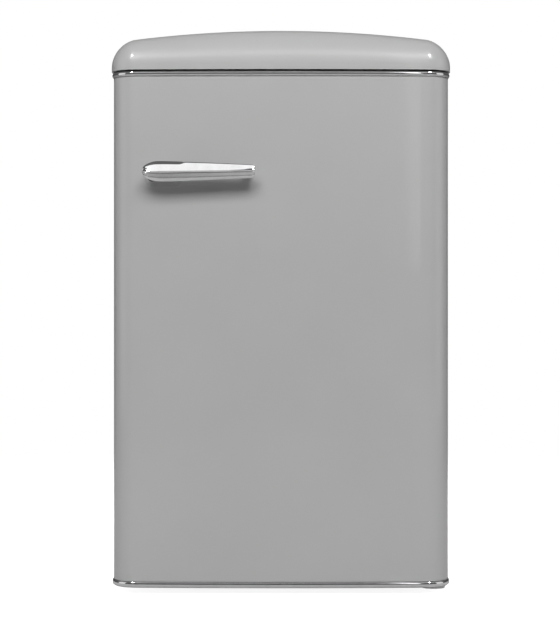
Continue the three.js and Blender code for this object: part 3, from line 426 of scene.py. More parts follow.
def smooth_path(points, steps=6):
    """A curve that passes through all the points."""
    ends = [points[0] * 2 - points[1], *points, points[-1] * 2 - points[-2]]
    path = []
    for a, b, c, d in zip(ends, ends[1:], ends[2:], ends[3:]):
        for k in range(steps):
            t = k / steps
            bend = (a * 2 - b * 5 + c * 4 - d) * t**2 + (b * 3 - a - c * 3 + d) * t**3
            path.append((b * 2 + (c - a) * t + bend) / 2)
    return [*path, points[-1]]


def extruded(profile, place, start, stop):
    """A closed profile of (u, v) points carried from one depth to another."""
    return stitched([[place(u, v, depth) for u, v in profile] for depth in (start, stop)])


def along_x(u, v, depth):
    return Vector((depth, u, v))


def bolt(place, axis, radius=4 * MM, height=3 * MM):
    """A hexagon head with a chamfered top, on a washer."""
    disc = radius * 1.5
    thick = 0.8 * MM
    washer = [(0, 0), (disc, 0), (disc, 0.6 * MM), (radius * 1.4, thick), (0, thick)]
    head = [(0, thick), (radius, thick), (radius, height - 0.5 * MM), (radius * 0.85, height), (0, height)]
    return joined(turned(washer, place, axis, 24), turned(head, place, axis, 6))


def front_curve(offset):
    """The door's bowed front and its two round corners in plan, grown outwards by an offset."""
    flat = HALF - DOOR_CORNER
    bow_y = DOOR_FRONT + BOW_RADIUS
    corner_y = bow_y - math.sqrt((BOW_RADIUS - DOOR_CORNER) ** 2 - flat**2)
    lean = math.asin(flat / (BOW_RADIUS - DOOR_CORNER))
    down = -math.pi / 2
    corner = DOOR_CORNER + offset
    return [
        *arc(-flat, corner_y, corner, -math.pi, down - lean, 14),
        *arc(0, bow_y, BOW_RADIUS + offset, down - lean, down + lean, 26)[1:-1],
        *arc(flat, corner_y, corner, down + lean, 0, 14),
    ]


def door_surface(x):
    """The depth of the door's bowed front at a distance from its middle."""
    return DOOR_FRONT + BOW_RADIUS - math.sqrt(BOW_RADIUS**2 - x**2)


def around_front(section, back):
    """Rings of a closed section of (offset, height) points, carried round the front."""
    paths = []
    for offset, height in section:
        front = front_curve(offset)
        path = [(front[0][0], back), *front, (front[-1][0], back)]
        paths.append([Vector((x, y, height)) for x, y in path])
    return [list(ring) for ring in zip(*paths)]


# ---------------------------------------------------------------- top cover


def cover_rings(turns):
    """The cover's upright edge, its rounding and the crown, one ring of plan points each."""
    shoulder = cover_low.z + COVER_SHOULDER
    centre = cover_high.z - CROWN_RADIUS

    def ring(shrink, rise):
        front = front_curve(COVER_PROUD - shrink)
        points = []
        for x, y in front:
            crown = centre + math.sqrt(CROWN_RADIUS**2 - x**2)
            points.append(Vector((x, y, shoulder + (crown - shoulder) * rise)))
        return points

    bottom = [Vector((p.x, p.y, cover_low.z)) for p in ring(0, 0)]
    rounding = [
        ring(COVER_ROUNDING * (1 - math.cos(a)), math.sin(a))
        for a in (math.radians(90 * i / turns) for i in range(turns + 1))
    ]
    return [bottom, *rounding]


def top_cover():
    """An open-bottomed moulding: the front and side surface, the crown and the flat back."""
    front = cover_rings(16)
    rings = [ring + [Vector((p.x, cover_high.y, p.z)) for p in reversed(ring)] for ring in front]
    verts, faces = stitched(rings, caps=False)
    count = len(front[0])
    last = (len(rings) - 1) * 2 * count
    crown = [(last + i, last + 2 * count - 1 - i) for i in range(count)]
    faces += [(a[0], b[0], b[1], a[1]) for a, b in zip(crown, crown[1:])]
    # The cover's enamel is painted lighter than the door's: painted light on the crown, not a different
    # paint.
    cover = piece("top_cover_shell", "cover_enamel", "cabinet", verts, faces, ["top_cover"], 60)
    thicken(cover, COVER_WALL)
    return bevel(cover, 0.7 * MM, 2, 50)


# ---------------------------------------------------------------- door's outside


def rounded_bar(inner, outer, low, high, round_by, steps=4):
    """A thin rectangle of (offset, height) points, with its two outer corners rounded."""
    return [
        (inner, low),
        *arc(outer - round_by, low + round_by, round_by, -math.pi / 2, 0, steps),
        *arc(outer - round_by, high - round_by, round_by, 0, math.pi / 2, steps),
        (inner, high),
    ]


def door_skin():
    """The pressed front sheet, turned in a little at its upper and lower ends."""
    section = rounded_bar(-1 * MM, 0, skin_low.z, skin_high.z, 0.9 * MM, 5)
    surface = stitched(around_front(section, DOOR_BACK))
    return piece("door_front_sheet", "grey_paint", "door", *surface, ["door_skin"], 50)


def chrome_band(node):
    """A half-round chrome moulding along the front and both sides of the door."""
    low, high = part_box(node)
    middle, half = (low.z + high.z) / 2, (high.z - low.z) / 2
    reach = BAND_PROUD - BAND_GAP
    crest = [
        (BAND_GAP + reach * math.cos(a), middle + half * math.sin(a))
        for a in (math.radians(-90 + 15 * i) for i in range(13))
    ]
    surface = stitched(around_front(crest, high.y))
    return piece(f"{node}_moulding", "chrome", "door", *surface, [node], 50)


# ---------------------------------------------------------------- handle

handle_low, handle_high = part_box("handle_bar")
HANDLE_LENGTH = handle_high.x - handle_low.x
RIDGE_DROP = 163.9 * MM  # below the door's upper end, at the tip
RIDGE_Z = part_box("door_top_cap")[1].z - RIDGE_DROP
RIDGE_RISE = 2 * MM
NOSE_SHARE = 0.165  # of the length, where the nose has its full height
BELLY_SHARE = 0.2
OPENING_SHARE = 0.33  # where the crease climbs to the upper edge
FACET_SLOPE = 0.33
BAR_DEPTH = handle_high.y - handle_low.y
BAR_END_ROUNDING = 5 * MM


def bar_section(share):
    """One closed section of the bar, from its ridge over the top and round the back.

    The first number of a point is its depth out of 15, from front to back."""
    nose = (1 - (1 - min(1, share / NOSE_SHARE)) ** 2) ** 0.42
    belly = (1 - (1 - min(1, share / BELLY_SHARE)) ** 2) ** 0.45
    past = max(0, (share - 1) * HANDLE_LENGTH / BAR_END_ROUNDING + 1)
    end_cut = BAR_END_ROUNDING * (1 - math.sqrt(1 - min(1, past) ** 2))
    above = (17.4 - 8.5 * share**1.5) * nose * MM - end_cut
    below = (16.7 - 4.6 * share**1.5) * belly * MM - end_cut
    front = handle_low.y + (6 * (1 - nose) + 0.1) * MM + end_cut * 0.4
    opening = min(1, max(0, (share - OPENING_SHARE) / 0.06))
    crease = min(12 * MM, above * 0.72)
    crease += (above * 0.93 - crease) * opening**2 * (3 - 2 * opening)
    facet = crease * FACET_SLOPE / MM
    upper = [
        (0.0, 0.0),
        (0.4, crease * 0.1),
        (0.4 + facet * 0.8, crease * 0.9),
        (0.7 + facet, crease),
        (1.3 + facet, crease + (above - crease) * 0.3),
        (3.2 + facet, crease + (above - crease) * 0.85),
        (9.5, above * 0.985),
        (11.5, above),
        (13.6, above * 0.98),
        (14.7, above * 0.9),
        (15.0, above * 0.75),
    ]
    lower = [
        (15.0, -0.75),
        (14.6, -0.92),
        (12.5, -1.0),
        (8.0, -1.0),
        (6.2, -0.95),
        (5.0, -0.86),
        (4.2, -0.74),
        (3.9, -0.7),
        (4.3, -0.665),
        (4.1, -0.63),
        (3.3, -0.6),
        (1.7, -0.26),
        (2.1, -0.23),
        (2.0, -0.195),
        (1.2, -0.16),
        (0.5, -0.06),
    ]
    depth = BAR_DEPTH - (front - handle_low.y)
    points = [(y, z) for y, z in upper] + [(y, z * below) for y, z in lower]
    x = handle_low.x + HANDLE_LENGTH * share
    ridge = RIDGE_Z + RIDGE_RISE * share
    return [Vector((x, front + y / 15 * depth, ridge + z)) for y, z in points]


def handle_bar():
    """The long teardrop grip: a crease along it, a chamfer over it and two fine grooves below."""
    steps = 72
    shares = [0.0006 + 0.9993 * (0.5 - 0.5 * math.cos(math.pi * i / steps)) for i in range(steps + 1)]
    surface = stitched([bar_section(share) for share in shares])
    return piece("handle_grip", "chrome", "door", *surface, ["handle_bar"], 16)


def handle_foot(node, round_by):
    """A foot that flares from the bar's back on to the door's bowed front."""
    low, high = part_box(node)
    top_flare = min(6 * MM, (high.x - low.x) * 0.12)
    rings = []
    for k in range(15):
        share = k / 14
        inset = top_flare * (1 - share**2.4)
        loop_low = (low.x + inset, low.z + inset)
        loop_high = (high.x - inset, high.z - inset)
        loop = rounded_loop(loop_low, loop_high, round_by - inset / 2, 8, 6)
        rings.append([Vector((u, low.y + (door_surface(u) - 0.1 * MM - low.y) * share, v)) for u, v in loop])
    return piece(f"{node}_pedestal", "chrome", "door", *stitched(rings), [node], 40)


# ---------------------------------------------------------------- door's inside

liner_low, liner_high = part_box("door_liner")
rack_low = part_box("bottle_rack")[0]
SIDE_WALL = 44 * MM
DYKE_GAP = 11 * MM
DYKE_HALF = HALF - SIDE_WALL - DYKE_GAP
DYKE_WIDTH = 14 * MM
UNDER_RACK = 14 * MM
DYKE_LOW = rack_low.z - UNDER_RACK - DYKE_WIDTH
DYKE_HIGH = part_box("ice_box")[1].z - 12 * MM
PAN_FLOOR = DOOR_BACK - 18 * MM
PAN_WALL = 2 * MM


def door_liner():
    """The vacuum-formed inner wall: a flange, a raised dyke with round edges and a sunk pan."""
    tip = liner_high.y
    edge = 4 * MM
    sections = [
        (-3 * MM, DOOR_BACK),
        (-0.8 * MM, DOOR_BACK + 0.8 * MM),
        (0, DOOR_BACK + 3 * MM),
        *arc(edge, tip - edge, edge, math.pi, math.pi / 2, 6),
        *arc(DYKE_WIDTH - edge, tip - edge, edge, math.pi / 2, 0, 6),
        (DYKE_WIDTH, PAN_FLOOR + edge),
        *arc(DYKE_WIDTH + edge, PAN_FLOOR + edge, edge, math.pi, 1.5 * math.pi, 5),
    ]
    steps = 8
    flange = rounded_loop((liner_low.x, liner_low.z), (liner_high.x, liner_high.z), 3 * MM, steps)
    rings = [[facing(u, v, DOOR_BACK) for u, v in flange]]
    rings += nested((-DYKE_HALF, DYKE_LOW), (DYKE_HALF, DYKE_HIGH), 16 * MM, sections, facing, steps)
    verts, faces = stitched(rings)
    del faces[-2]
    liner = piece("door_liner_moulding", "white_plastic", "door", verts, faces, ["door_liner"], 40)
    return thicken(liner, PAN_WALL)


def rack_lugs():
    """The six ledges on the dyke's inner sides that the racks rest on."""
    blocks = []
    for rack in ("bottle_rack", "middle_rack", "upper_rack"):
        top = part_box(rack)[0].z - 0.3 * MM
        for side in (-1, 1):
            near, far = DYKE_HALF - DYKE_WIDTH - 7 * MM, DYKE_HALF - DYKE_WIDTH + 1 * MM
            wedge = [
                (side * far, top),
                (side * near, top),
                (side * near, top - 4 * MM),
                (side * (far - 2 * MM), top - 8 * MM),
                (side * far, top - 8 * MM),
            ]
            blocks.append(extruded(wedge, facing, PAN_FLOOR + 12 * MM, liner_high.y - 6 * MM))
    return bevel(piece("rack_lugs", "white_plastic", "door", *joined(*blocks)), 0.8 * MM)


def gasket():
    """The magnetic seal: a flat pocket on two folds, in one ring around the door's inside."""
    low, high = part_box("door_gasket")
    depth = high.y - low.y
    fold = [
        (0.87, 0.0),
        (0.92, 0.1),
        (0.78, 0.2),
        (0.8, 0.27),
        (0.97, 0.36),
        (0.97, 0.44),
        (0.8, 0.53),
        (0.82, 0.6),
        (0.97, 0.66),
        (1.0, 0.72),
        (1.0, 0.95),
        (0.95, 1.0),
        (0.55, 1.0),
    ]
    outline = [*fold, (0.5, 0.97), *[(1 - u, v) for u, v in reversed(fold)]]
    width = 16 * MM
    sections = [(u * width, low.y + v * depth) for u, v in outline]
    rings = nested((low.x, low.z), (high.x, high.z), 18 * MM, [*sections, sections[0]], facing, 8)
    return piece("door_seal", "seal", "door", *stitched(rings, caps=False), ["door_gasket"], 50)


def open_tray(name, slot, body, node, low, high, wall, corner, dip=0):
    """A moulded tray with a rolled rim, drafted walls and round inner and outer lower edges."""
    rim, rim_height = 1.5 * MM, 6 * MM
    draft, bottom = rim + 1.2 * MM, 5 * MM
    floor = low.z + wall
    sections = [
        *arc(draft + bottom, low.z + bottom, bottom, 1.5 * math.pi, math.pi, 5),
        (rim + 0.4 * MM, high.z - rim_height - 1 * MM),
        (rim, high.z - rim_height),
        (0.3 * MM, high.z - rim_height),
        (0, high.z - rim_height + 0.4 * MM),
        (0, high.z - 0.8 * MM),
        (0.8 * MM, high.z),
        (rim + wall - 0.8 * MM, high.z),
        (rim + wall, high.z - 0.8 * MM),
        (draft + wall, floor + bottom),
        *arc(draft + wall + bottom, floor + bottom, bottom, math.pi, 1.5 * math.pi, 5),
    ]
    rings = nested((low.x, low.y), (high.x, high.y), corner, sections, upright, 6, 16)
    if dip:
        margin = 30 * MM
        for ring in rings:
            for p in ring:
                if p.y < low.y + 8 * MM:
                    inside = min(1, max(0, (high.x - margin - abs(p.x)) / (60 * MM)))
                    p.z = low.z + (p.z - low.z) * (1 - dip * inside**2 * (3 - 2 * inside))
    return piece(name, slot, body, *stitched(rings), [node], 40)


def door_racks():
    """The three racks, each with its front dipped in the middle."""
    for name in ("bottle_rack", "middle_rack", "upper_rack"):
        low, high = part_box(name)
        open_tray(f"{name}_moulding", "clear_plastic", name, name, low, high, 2.5 * MM, 8 * MM, dip=0.6)


# ---------------------------------------------------------------- inside the cabinet


def crisper():
    """The drawer's tray, and the lip in front that the fingers pull."""
    low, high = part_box("crisper_drawer")
    front = low.y + 12 * MM
    open_tray(
        "crisper_tray",
        "clear_plastic",
        "crisper_drawer",
        "crisper_drawer",
        Vector((low.x, front, low.z)),
        high,
        2.5 * MM,
        9 * MM,
    )
    lip = [
        (front + 0.6 * MM, high.z - 26 * MM),
        (front + 0.6 * MM, high.z - 1 * MM),
        (low.y + 2 * MM, high.z - 1 * MM),
        (low.y + 0.5 * MM, high.z - 3 * MM),
        (low.y + 0.5 * MM, high.z - 8 * MM),
        (low.y + 3 * MM, high.z - 8 * MM),
        (front - 3 * MM, high.z - 6 * MM),
    ]
    surface = extruded(lip, along_x, -70 * MM, 70 * MM)
    return bevel(piece("crisper_grip", "clear_plastic", "crisper_drawer", *surface), 0.7 * MM)


def ice_flap():
    """The ice box's door: a framed panel with a sunk face, a grip over it and two pins."""
    low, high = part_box("ice_box_flap")
    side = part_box("ice_box")[1].x - 9 * MM
    thick = 11.5 * MM
    front, back = high.y - thick, high.y
    edge = 2.5 * MM
    sections = [
        (3 * MM, back),
        (0.8 * MM, back - 0.8 * MM),
        (0, back - 3 * MM),
        (0, front + edge),
        *arc(edge, front + edge, edge, math.pi, 1.5 * math.pi, 4),
        (13 * MM, front),
        (14 * MM, front + 0.4 * MM),
        (15.5 * MM, front + 2.6 * MM),
        (17 * MM, front + 3 * MM),
        (24 * MM, front + 3 * MM),
        (25 * MM, front + 2.4 * MM),
        (26 * MM, front + 2.2 * MM),
    ]
    rings = nested((-side, low.z + 0.4 * MM), (side, high.z), 7 * MM, sections, facing, 6)
    panel = piece("ice_flap_panel", "white_plastic", "ice_box_flap", *stitched(rings), ["ice_box_flap"], 30)
    ledge = [
        (front + 1 * MM, high.z - 5 * MM),
        (front - 4 * MM, high.z - 6.5 * MM),
        (low.y + 0.4 * MM, high.z - 9 * MM),
        (low.y + 0.4 * MM, high.z - 12 * MM),
        (front - 3 * MM, high.z - 11 * MM),
        (front + 1 * MM, high.z - 20 * MM),
    ]
    surface = extruded(ledge, along_x, -60 * MM, 60 * MM)
    bevel(piece("ice_flap_grip", "white_plastic", "ice_box_flap", *surface), 0.8 * MM)
    middle = Vector((0, high.y - thick / 2, low.z + thick / 2))
    pins = []
    for end in (-1, 1):
        profile = [(0, 0), (2 * MM, 0), (2 * MM, 7.4 * MM), (1.5 * MM, 8 * MM), (0, 8 * MM)]
        start = middle + Vector((end * (side - 0.5 * MM), 0, 0))
        pins.append(turned(profile, start, (end, 0, 0), 20))
    piece("ice_flap_pins", "white_plastic", "ice_box_flap", *joined(*pins))
    return panel


def evaporator_channel():
    """The pressed refrigerant channel that winds over the ice box's underside."""
    low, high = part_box("ice_box")
    z = low.z + 1.2 * MM
    half_run = high.x - 40 * MM
    passes = 6
    pitch = (high.y - low.y - 90 * MM) / (passes - 1)
    points = []
    for k in range(passes):
        y = low.y + 60 * MM + k * pitch
        side = 1 if k % 2 else -1
        points += [Vector((side * -half_run, y, z)), Vector((side * half_run, y, z))]
        if k < passes - 1:
            bend = arc(side * half_run, y + pitch / 2, pitch / 2, -math.pi / 2, math.pi / 2, 8)[1:-1]
            points += [Vector((side * half_run + side * (u - side * half_run), v, z)) for u, v in bend]
    return piece("evaporator_channel", "aluminium", "cabinet", *swept(points, 3 * MM, 12))


def thermostat():
    """A ribbed knob with a raised pointer, and the scale around it."""
    low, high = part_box("thermostat_knob")
    middle = Vector((high.x, (low.y + high.y) / 2, (low.z + high.z) / 2))
    radius = (high.z - low.z) / 2
    ribs = 36
    depth = 12 * MM
    skirt = turned(
        [
            (0, 0),
            (radius, 0),
            (radius, 1.6 * MM),
            (radius - 0.8 * MM, 2.4 * MM),
            (radius - 2 * MM, 2.4 * MM),
            (0, 2.4 * MM),
        ],
        middle,
        (-1, 0, 0),
        72,
    )
    grip = turned(
        [
            (0, 2 * MM),
            (radius - 1.6 * MM, 2 * MM),
            (radius - 2.2 * MM, depth - 1.6 * MM),
            (radius - 2.8 * MM, depth - 0.5 * MM),
            (radius - 4 * MM, depth),
            (radius - 6 * MM, depth),
            (radius - 7 * MM, depth - 0.6 * MM),
            (0, depth - 0.6 * MM),
        ],
        middle,
        (-1, 0, 0),
        ribs * 6,
        ribs,
        0.035,
    )
    knob = piece(
        "thermostat_dial", "white_plastic", "thermostat_knob", *joined(skirt, grip), ["thermostat_knob"], 30
    )
    pointer_low = (middle.y - 2 * MM, middle.z + 1 * MM)
    pointer_high = (middle.y + 2 * MM, middle.z + radius - 3 * MM)
    pointer = rounded_loop(pointer_low, pointer_high, 1.5 * MM, 4)
    raised = extruded(pointer, along_x, low.x + 0.2 * MM, middle.x - depth + 1 * MM)
    bevel(piece("thermostat_pointer", "grey_plastic", "thermostat_knob", *raised), 0.4 * MM)
    ticks = []
    for k in range(8):
        turn = math.radians(90 - 270 * k / 7)
        length = 6 * MM if k in (0, 7) else 4 * MM
        across = Vector((0, -math.sin(turn), math.cos(turn))) * 0.6 * MM
        out = Vector((0, math.cos(turn), math.sin(turn)))
        face = middle.x + 0.3 * MM
        start, stop = out * (radius + 2 * MM), out * (radius + 2 * MM + length)
        corners = [start - across, stop - across, stop + across, start + across]
        depths = (face - 0.25 * MM, face + 0.5 * MM)
        rings = [[Vector((x, middle.y, middle.z)) + p for p in corners] for x in depths]
        ticks.append(stitched(rings))
    piece("thermostat_scale", "grey_plastic", "cabinet", *joined(*ticks))
    return knob


def lamp():
    """The lamp's louvred cover, and its bulb with a screw cap."""
    low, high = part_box("lamp_cover")
    louvres = 9
    profile = [(high.x, low.z), (high.x, high.z), (low.x + 2 * MM, high.z)]
    profile.append((low.x + 0.5 * MM, high.z - 1.5 * MM))
    pitch = (high.z - low.z - 6 * MM) / louvres
    for k in range(louvres):
        top = high.z - 3 * MM - k * pitch
        profile += [(low.x + 0.4 * MM, top), (low.x + 0.1 * MM, top - pitch * 0.3)]
        profile.append((low.x + 1.6 * MM, top - pitch * 0.9))
    profile += [(low.x + 0.5 * MM, low.z + 1.5 * MM), (low.x + 2 * MM, low.z)]
    lens = extruded(profile, facing, low.y, high.y)
    cover = piece("lamp_lens", "clear_plastic", "cabinet", *lens, ["lamp_cover"], 20)
    bevel(cover, 0.6 * MM, 2, 60)
    bulb_low, bulb_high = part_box("lamp_bulb")
    middle = Vector(((bulb_low.x + bulb_high.x) / 2, (bulb_low.y + bulb_high.y) / 2, bulb_low.z))
    cap = [(0, 0), (3 * MM, 0), (4 * MM, 1 * MM)]
    for k in range(6):
        z = (2 + 1.6 * k) * MM
        cap += [(4.6 * MM, z), (5 * MM, z + 0.5 * MM), (4.6 * MM, z + 1 * MM)]
    cap += [(4.6 * MM, 12.4 * MM), (0, 12.4 * MM)]
    piece("bulb_cap", "aluminium", "cabinet", *turned(cap, middle, sides=32))
    glass = [(0, 12 * MM), (4.6 * MM, 12 * MM), (5.4 * MM, 15 * MM)]
    for i in range(12):
        turn = math.radians(10 * i - 20)
        glass.append((6.9 * MM * math.cos(turn), (21.5 + 13 * math.sin(turn)) * MM))
    return piece("bulb_glass", "bulb", "cabinet", *turned(glass, middle, sides=32), ["lamp_bulb"], 60)


def light_switch():
    """The rocker's plunger: a round white pin with a domed tip."""
    low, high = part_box("light_switch")
    radius = (high.x - low.x) / 2
    place = Vector(((low.x + high.x) / 2, high.y, (low.z + high.z) / 2))
    length = high.y - low.y
    dome = arc(0, length - radius, radius, 0, math.pi / 2, 10)
    surface = turned([(0, 0), (radius, 0), *dome], place, (0, -1, 0), 32)
    return piece("light_switch_plunger", "white_plastic", "light_switch", *surface, ["light_switch"], 50)


# ---------------------------------------------------------------- machinery

pot_low, pot_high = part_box("compressor")
POT = Vector(((pot_low.x + pot_high.x) / 2, (pot_low.y + pot_high.y) / 2, pot_low.z))
POT_RADIUS = 62 * MM
POT_HEIGHT = pot_high.z - pot_low.z
BAY_HEIGHT = 172.7 * MM
BAY_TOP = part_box("back_panel")[0].z + BAY_HEIGHT


def compressor():
    """A deep-drawn pot with its domed lid and weld, standing on a ribbed plate."""
    r, h = POT_RADIUS, POT_HEIGHT
    seam = h * 0.52
    bottom = [(r * 0.62, 0), (r * 0.76, 3 * MM), (r * 0.88, 9 * MM), (r * 0.96, 18 * MM), (r, 30 * MM)]
    weld = [(r, seam - 1 * MM), (r + 2.4 * MM, seam), (r + 4 * MM, seam + 0.4 * MM)]
    weld += [(r + 4 * MM, seam + 3.6 * MM), (r + 2.4 * MM, seam + 4 * MM), (r - 0.4 * MM, seam + 5 * MM)]
    shoulder = seam + 22 * MM
    turns = [math.radians(7.5 * i) for i in range(13)]
    lid = [(r * math.cos(turn), shoulder + (h - shoulder) * math.sin(turn)) for turn in turns]
    pot = turned([(0, 0), *bottom, *weld, *lid], POT, sides=72)
    plate_sections = [(0.8 * MM, POT.z), (0, POT.z + 0.6 * MM), (0, POT.z + 2.4 * MM)]
    plate_sections += [(0.8 * MM, POT.z + 3 * MM), (14 * MM, POT.z + 3 * MM)]
    plate_sections += [(17 * MM, POT.z + 5.5 * MM), (26 * MM, POT.z + 5.5 * MM)]
    low, high = (POT.x - 84 * MM, POT.y - 52 * MM), (POT.x + 84 * MM, POT.y + 52 * MM)
    plate = stitched(nested(low, high, 30 * MM, plate_sections, upright, 10))
    surface = joined(pot, plate)
    piece("compressor_pot", "black_steel", "cabinet", *surface, ["compressor"], 38)
    stub = smooth_path(
        [
            POT + Vector((-30 * MM, 52 * MM, 44 * MM)),
            POT + Vector((-36 * MM, 62 * MM, 44 * MM)),
            POT + Vector((-40 * MM, 67 * MM, 52 * MM)),
            POT + Vector((-40 * MM, 68 * MM, 78 * MM)),
        ]
    )
    return piece("process_tube", "copper", "cabinet", *swept(stub, 3 * MM, 14))


def grommets():
    """Four waisted rubber mounts, each with a bolt and washer through the plate."""
    for k in range(1, 5):
        node = f"compressor_grommet_{k}"
        low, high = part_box(node)
        place = Vector(((low.x + high.x) / 2, (low.y + high.y) / 2, low.z))
        r, h = (high.x - low.x) / 2, high.z - low.z
        waist = []
        for i in range(11):
            pinch = 2.6 * MM * math.sin(math.pi * i / 10) ** 2
            waist.append((r - pinch, 3.5 * MM + (h - 7 * MM) * i / 10))
        lip = 0.8 * MM
        profile = [(0, 0), (r - lip, 0), (r, lip), *waist, (r, h - lip), (r - lip, h), (0, h)]
        piece(f"{node}_rubber", "rubber", "cabinet", *turned(profile, place, sides=40), [node], 50)
        head = bolt(place + Vector((0, 0, h + 3.6 * MM)), (0, 0, 1), 4.5 * MM, 4.5 * MM)
        piece(f"{node}_bolt", "zinc_steel", "cabinet", *head)


def drip_tray():
    """The evaporation tray over the compressor."""
    low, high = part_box("drip_tray")
    open_tray("evaporation_tray", "black_plastic", "cabinet", "drip_tray", low, high, 2 * MM, 12 * MM)


def condenser():
    """The winding tube with upright wires welded to both of its sides."""
    wires_low, wires_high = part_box("condenser_wires")
    cabinet_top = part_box("cabinet_shell")[1].z
    radius, wire = 2.4 * MM, 0.8 * MM
    y = wires_low.y - 0.3 * MM - radius
    half_run, passes = 190 * MM, 13
    low, high = BAY_TOP + 55 * MM, cabinet_top - 38 * MM
    pitch = (high - low) / (passes - 1)
    bend = pitch / 2
    inlet, outlet = half_run + bend, -half_run - bend - 16 * MM
    flat = [(inlet, low - 2 * bend), (inlet, low - bend - 0.01 * MM)]
    flat += arc(half_run, low - bend, bend, 0, math.pi / 2, 8)
    for k in range(passes - 1):
        side = -1 if k % 2 == 0 else 1
        turn = arc(0, 0, bend, -math.pi / 2, math.pi / 2, 12)
        flat += [(side * (half_run + u), low + (k + 0.5) * pitch + v) for u, v in turn]
    flat += arc(outlet + bend, high - bend, bend, math.pi / 2, math.pi, 8)
    drier_low, drier_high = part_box("filter_drier")
    drier_y = (drier_low.y + drier_high.y) / 2
    points = [Vector((u, y, v)) for u, v in flat]
    tail = [
        Vector((outlet, y, low + 20 * MM)),
        Vector((outlet, drier_y + 2 * MM, low - 14 * MM)),
        Vector((outlet, drier_y, drier_high.z + 0.3 * MM)),
    ]
    points += smooth_path([points[-1] - Vector((0, 0, 300 * MM)), *tail], 5)
    piece("condenser_coil", "black_steel", "cabinet", *swept(points, radius, 12), ["condenser_tube"], 50)
    count = 24
    side = wires_high.x - wire
    rods = []
    for k in range(count):
        x = -side + 2 * side * k / (count - 1)
        for depth in (wires_high.y - wire, y - radius - wire):
            tall = wires_high.z - wires_low.z
            rod = [Vector((x, depth, wires_low.z + tall * t)) for t in (0, 0.33, 0.67, 1)]
            rods.append(swept(rod, wire, 6))
    for z in (wires_low.z + 2 * MM, wires_high.z - 2 * MM):
        rail = [Vector((-side + 2 * side * t, wires_high.y - wire - 1.4 * MM, z)) for t in (0, 0.5, 1)]
        rods.append(swept(rail, wire, 6))
    return piece("condenser_rods", "black_steel", "cabinet", *joined(*rods), ["condenser_wires"], 50)


def filter_drier():
    """A copper can, spun down to a capillary tube at the lower end."""
    low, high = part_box("filter_drier")
    r = (high.x - low.x) / 2
    place = Vector(((low.x + high.x) / 2, (low.y + high.y) / 2, low.z))
    length = high.z - low.z
    neck = 2.4 * MM

    def shoulder(start, stop, start_z, stop_z):
        steps = [i / 8 for i in range(9)]
        blend = [t**2 * (3 - 2 * t) for t in steps]
        return [(start + (stop - start) * b, start_z + (stop_z - start_z) * t) for t, b in zip(steps, blend)]

    profile = [(0, 0), (neck, 0), *shoulder(neck, r, 7 * MM, 17 * MM)]
    profile += [(r, 24 * MM), (r - 0.5 * MM, 25 * MM), (r, 26 * MM), (r, length - 22 * MM)]
    profile += [(r - 0.5 * MM, length - 21 * MM), (r, length - 20 * MM)]
    profile += [*shoulder(r, neck, length - 15 * MM, length - 5 * MM), (neck, length), (0, length)]
    return piece("drier_can", "copper", "cabinet", *turned(profile, place, sides=32), ["filter_drier"], 40)


def pipes():
    """The discharge line to the condenser, the suction line and the drain hose."""
    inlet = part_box("discharge_pipe")[1] - Vector((3, 3, 0)) * MM
    start = Vector((POT.x + POT_RADIUS + 0.8 * MM, POT.y, POT.z + 60 * MM))
    route = [(0, 0, 0), (26, 0, 0), (42, 8, 0), (50, 26, 4), (54, 62, 14)]
    points = [start + Vector(offset) * MM for offset in route]
    points += [
        Vector((start.x + 62 * MM, inlet.y - 14 * MM, start.z + 30 * MM)),
        Vector((inlet.x - 6 * MM, inlet.y - 4 * MM, start.z + 52 * MM)),
        Vector((inlet.x, inlet.y, start.z + 76 * MM)),
        inlet,
    ]
    line = swept(smooth_path(points, 5), 3 * MM, 14)
    piece("discharge_line", "copper", "cabinet", *line, ["discharge_pipe"], 50)
    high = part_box("suction_pipe")[1]
    x, y, z = POT.x + 84 * MM, POT.y + 40 * MM, POT.z + 46 * MM
    reach = POT_RADIUS + 3.4 * MM
    meet = Vector((POT.x + reach * math.cos(0.62), POT.y + reach * math.sin(0.62), z))
    route = [
        Vector((x, y, high.z)),
        Vector((x, y, z + 42 * MM)),
        Vector((x - 2 * MM, y, z + 18 * MM)),
        Vector((x - 10 * MM, y - 2 * MM, z + 4 * MM)),
        meet + Vector((9, 1.5, 0)) * MM,
        meet,
    ]
    line = swept(smooth_path(route, 5), 3 * MM, 14)
    piece("suction_line", "copper", "cabinet", *line, ["suction_pipe"], 50)
    low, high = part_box("drain_tube")
    place = Vector(((low.x + high.x) / 2, (low.y + high.y) / 2, low.z))
    r, length = (high.x - low.x) / 2, high.z - low.z
    ridges = 12
    hose = []
    for k in range(ridges * 4 + 1):
        share = k / (ridges * 4)
        hose.append((r - 0.5 * MM + 0.5 * MM * math.cos(2 * math.pi * ridges * share), length * share))
    bore = [(r - 2 * MM, length), (r - 2 * MM, 0)]
    verts, faces = turned([*hose, *bore, hose[0]], place, sides=32)
    return piece("drain_hose", "grey_plastic", "cabinet", verts, faces[:-2], ["drain_tube"], 50)


# ---------------------------------------------------------------- feet and fixings


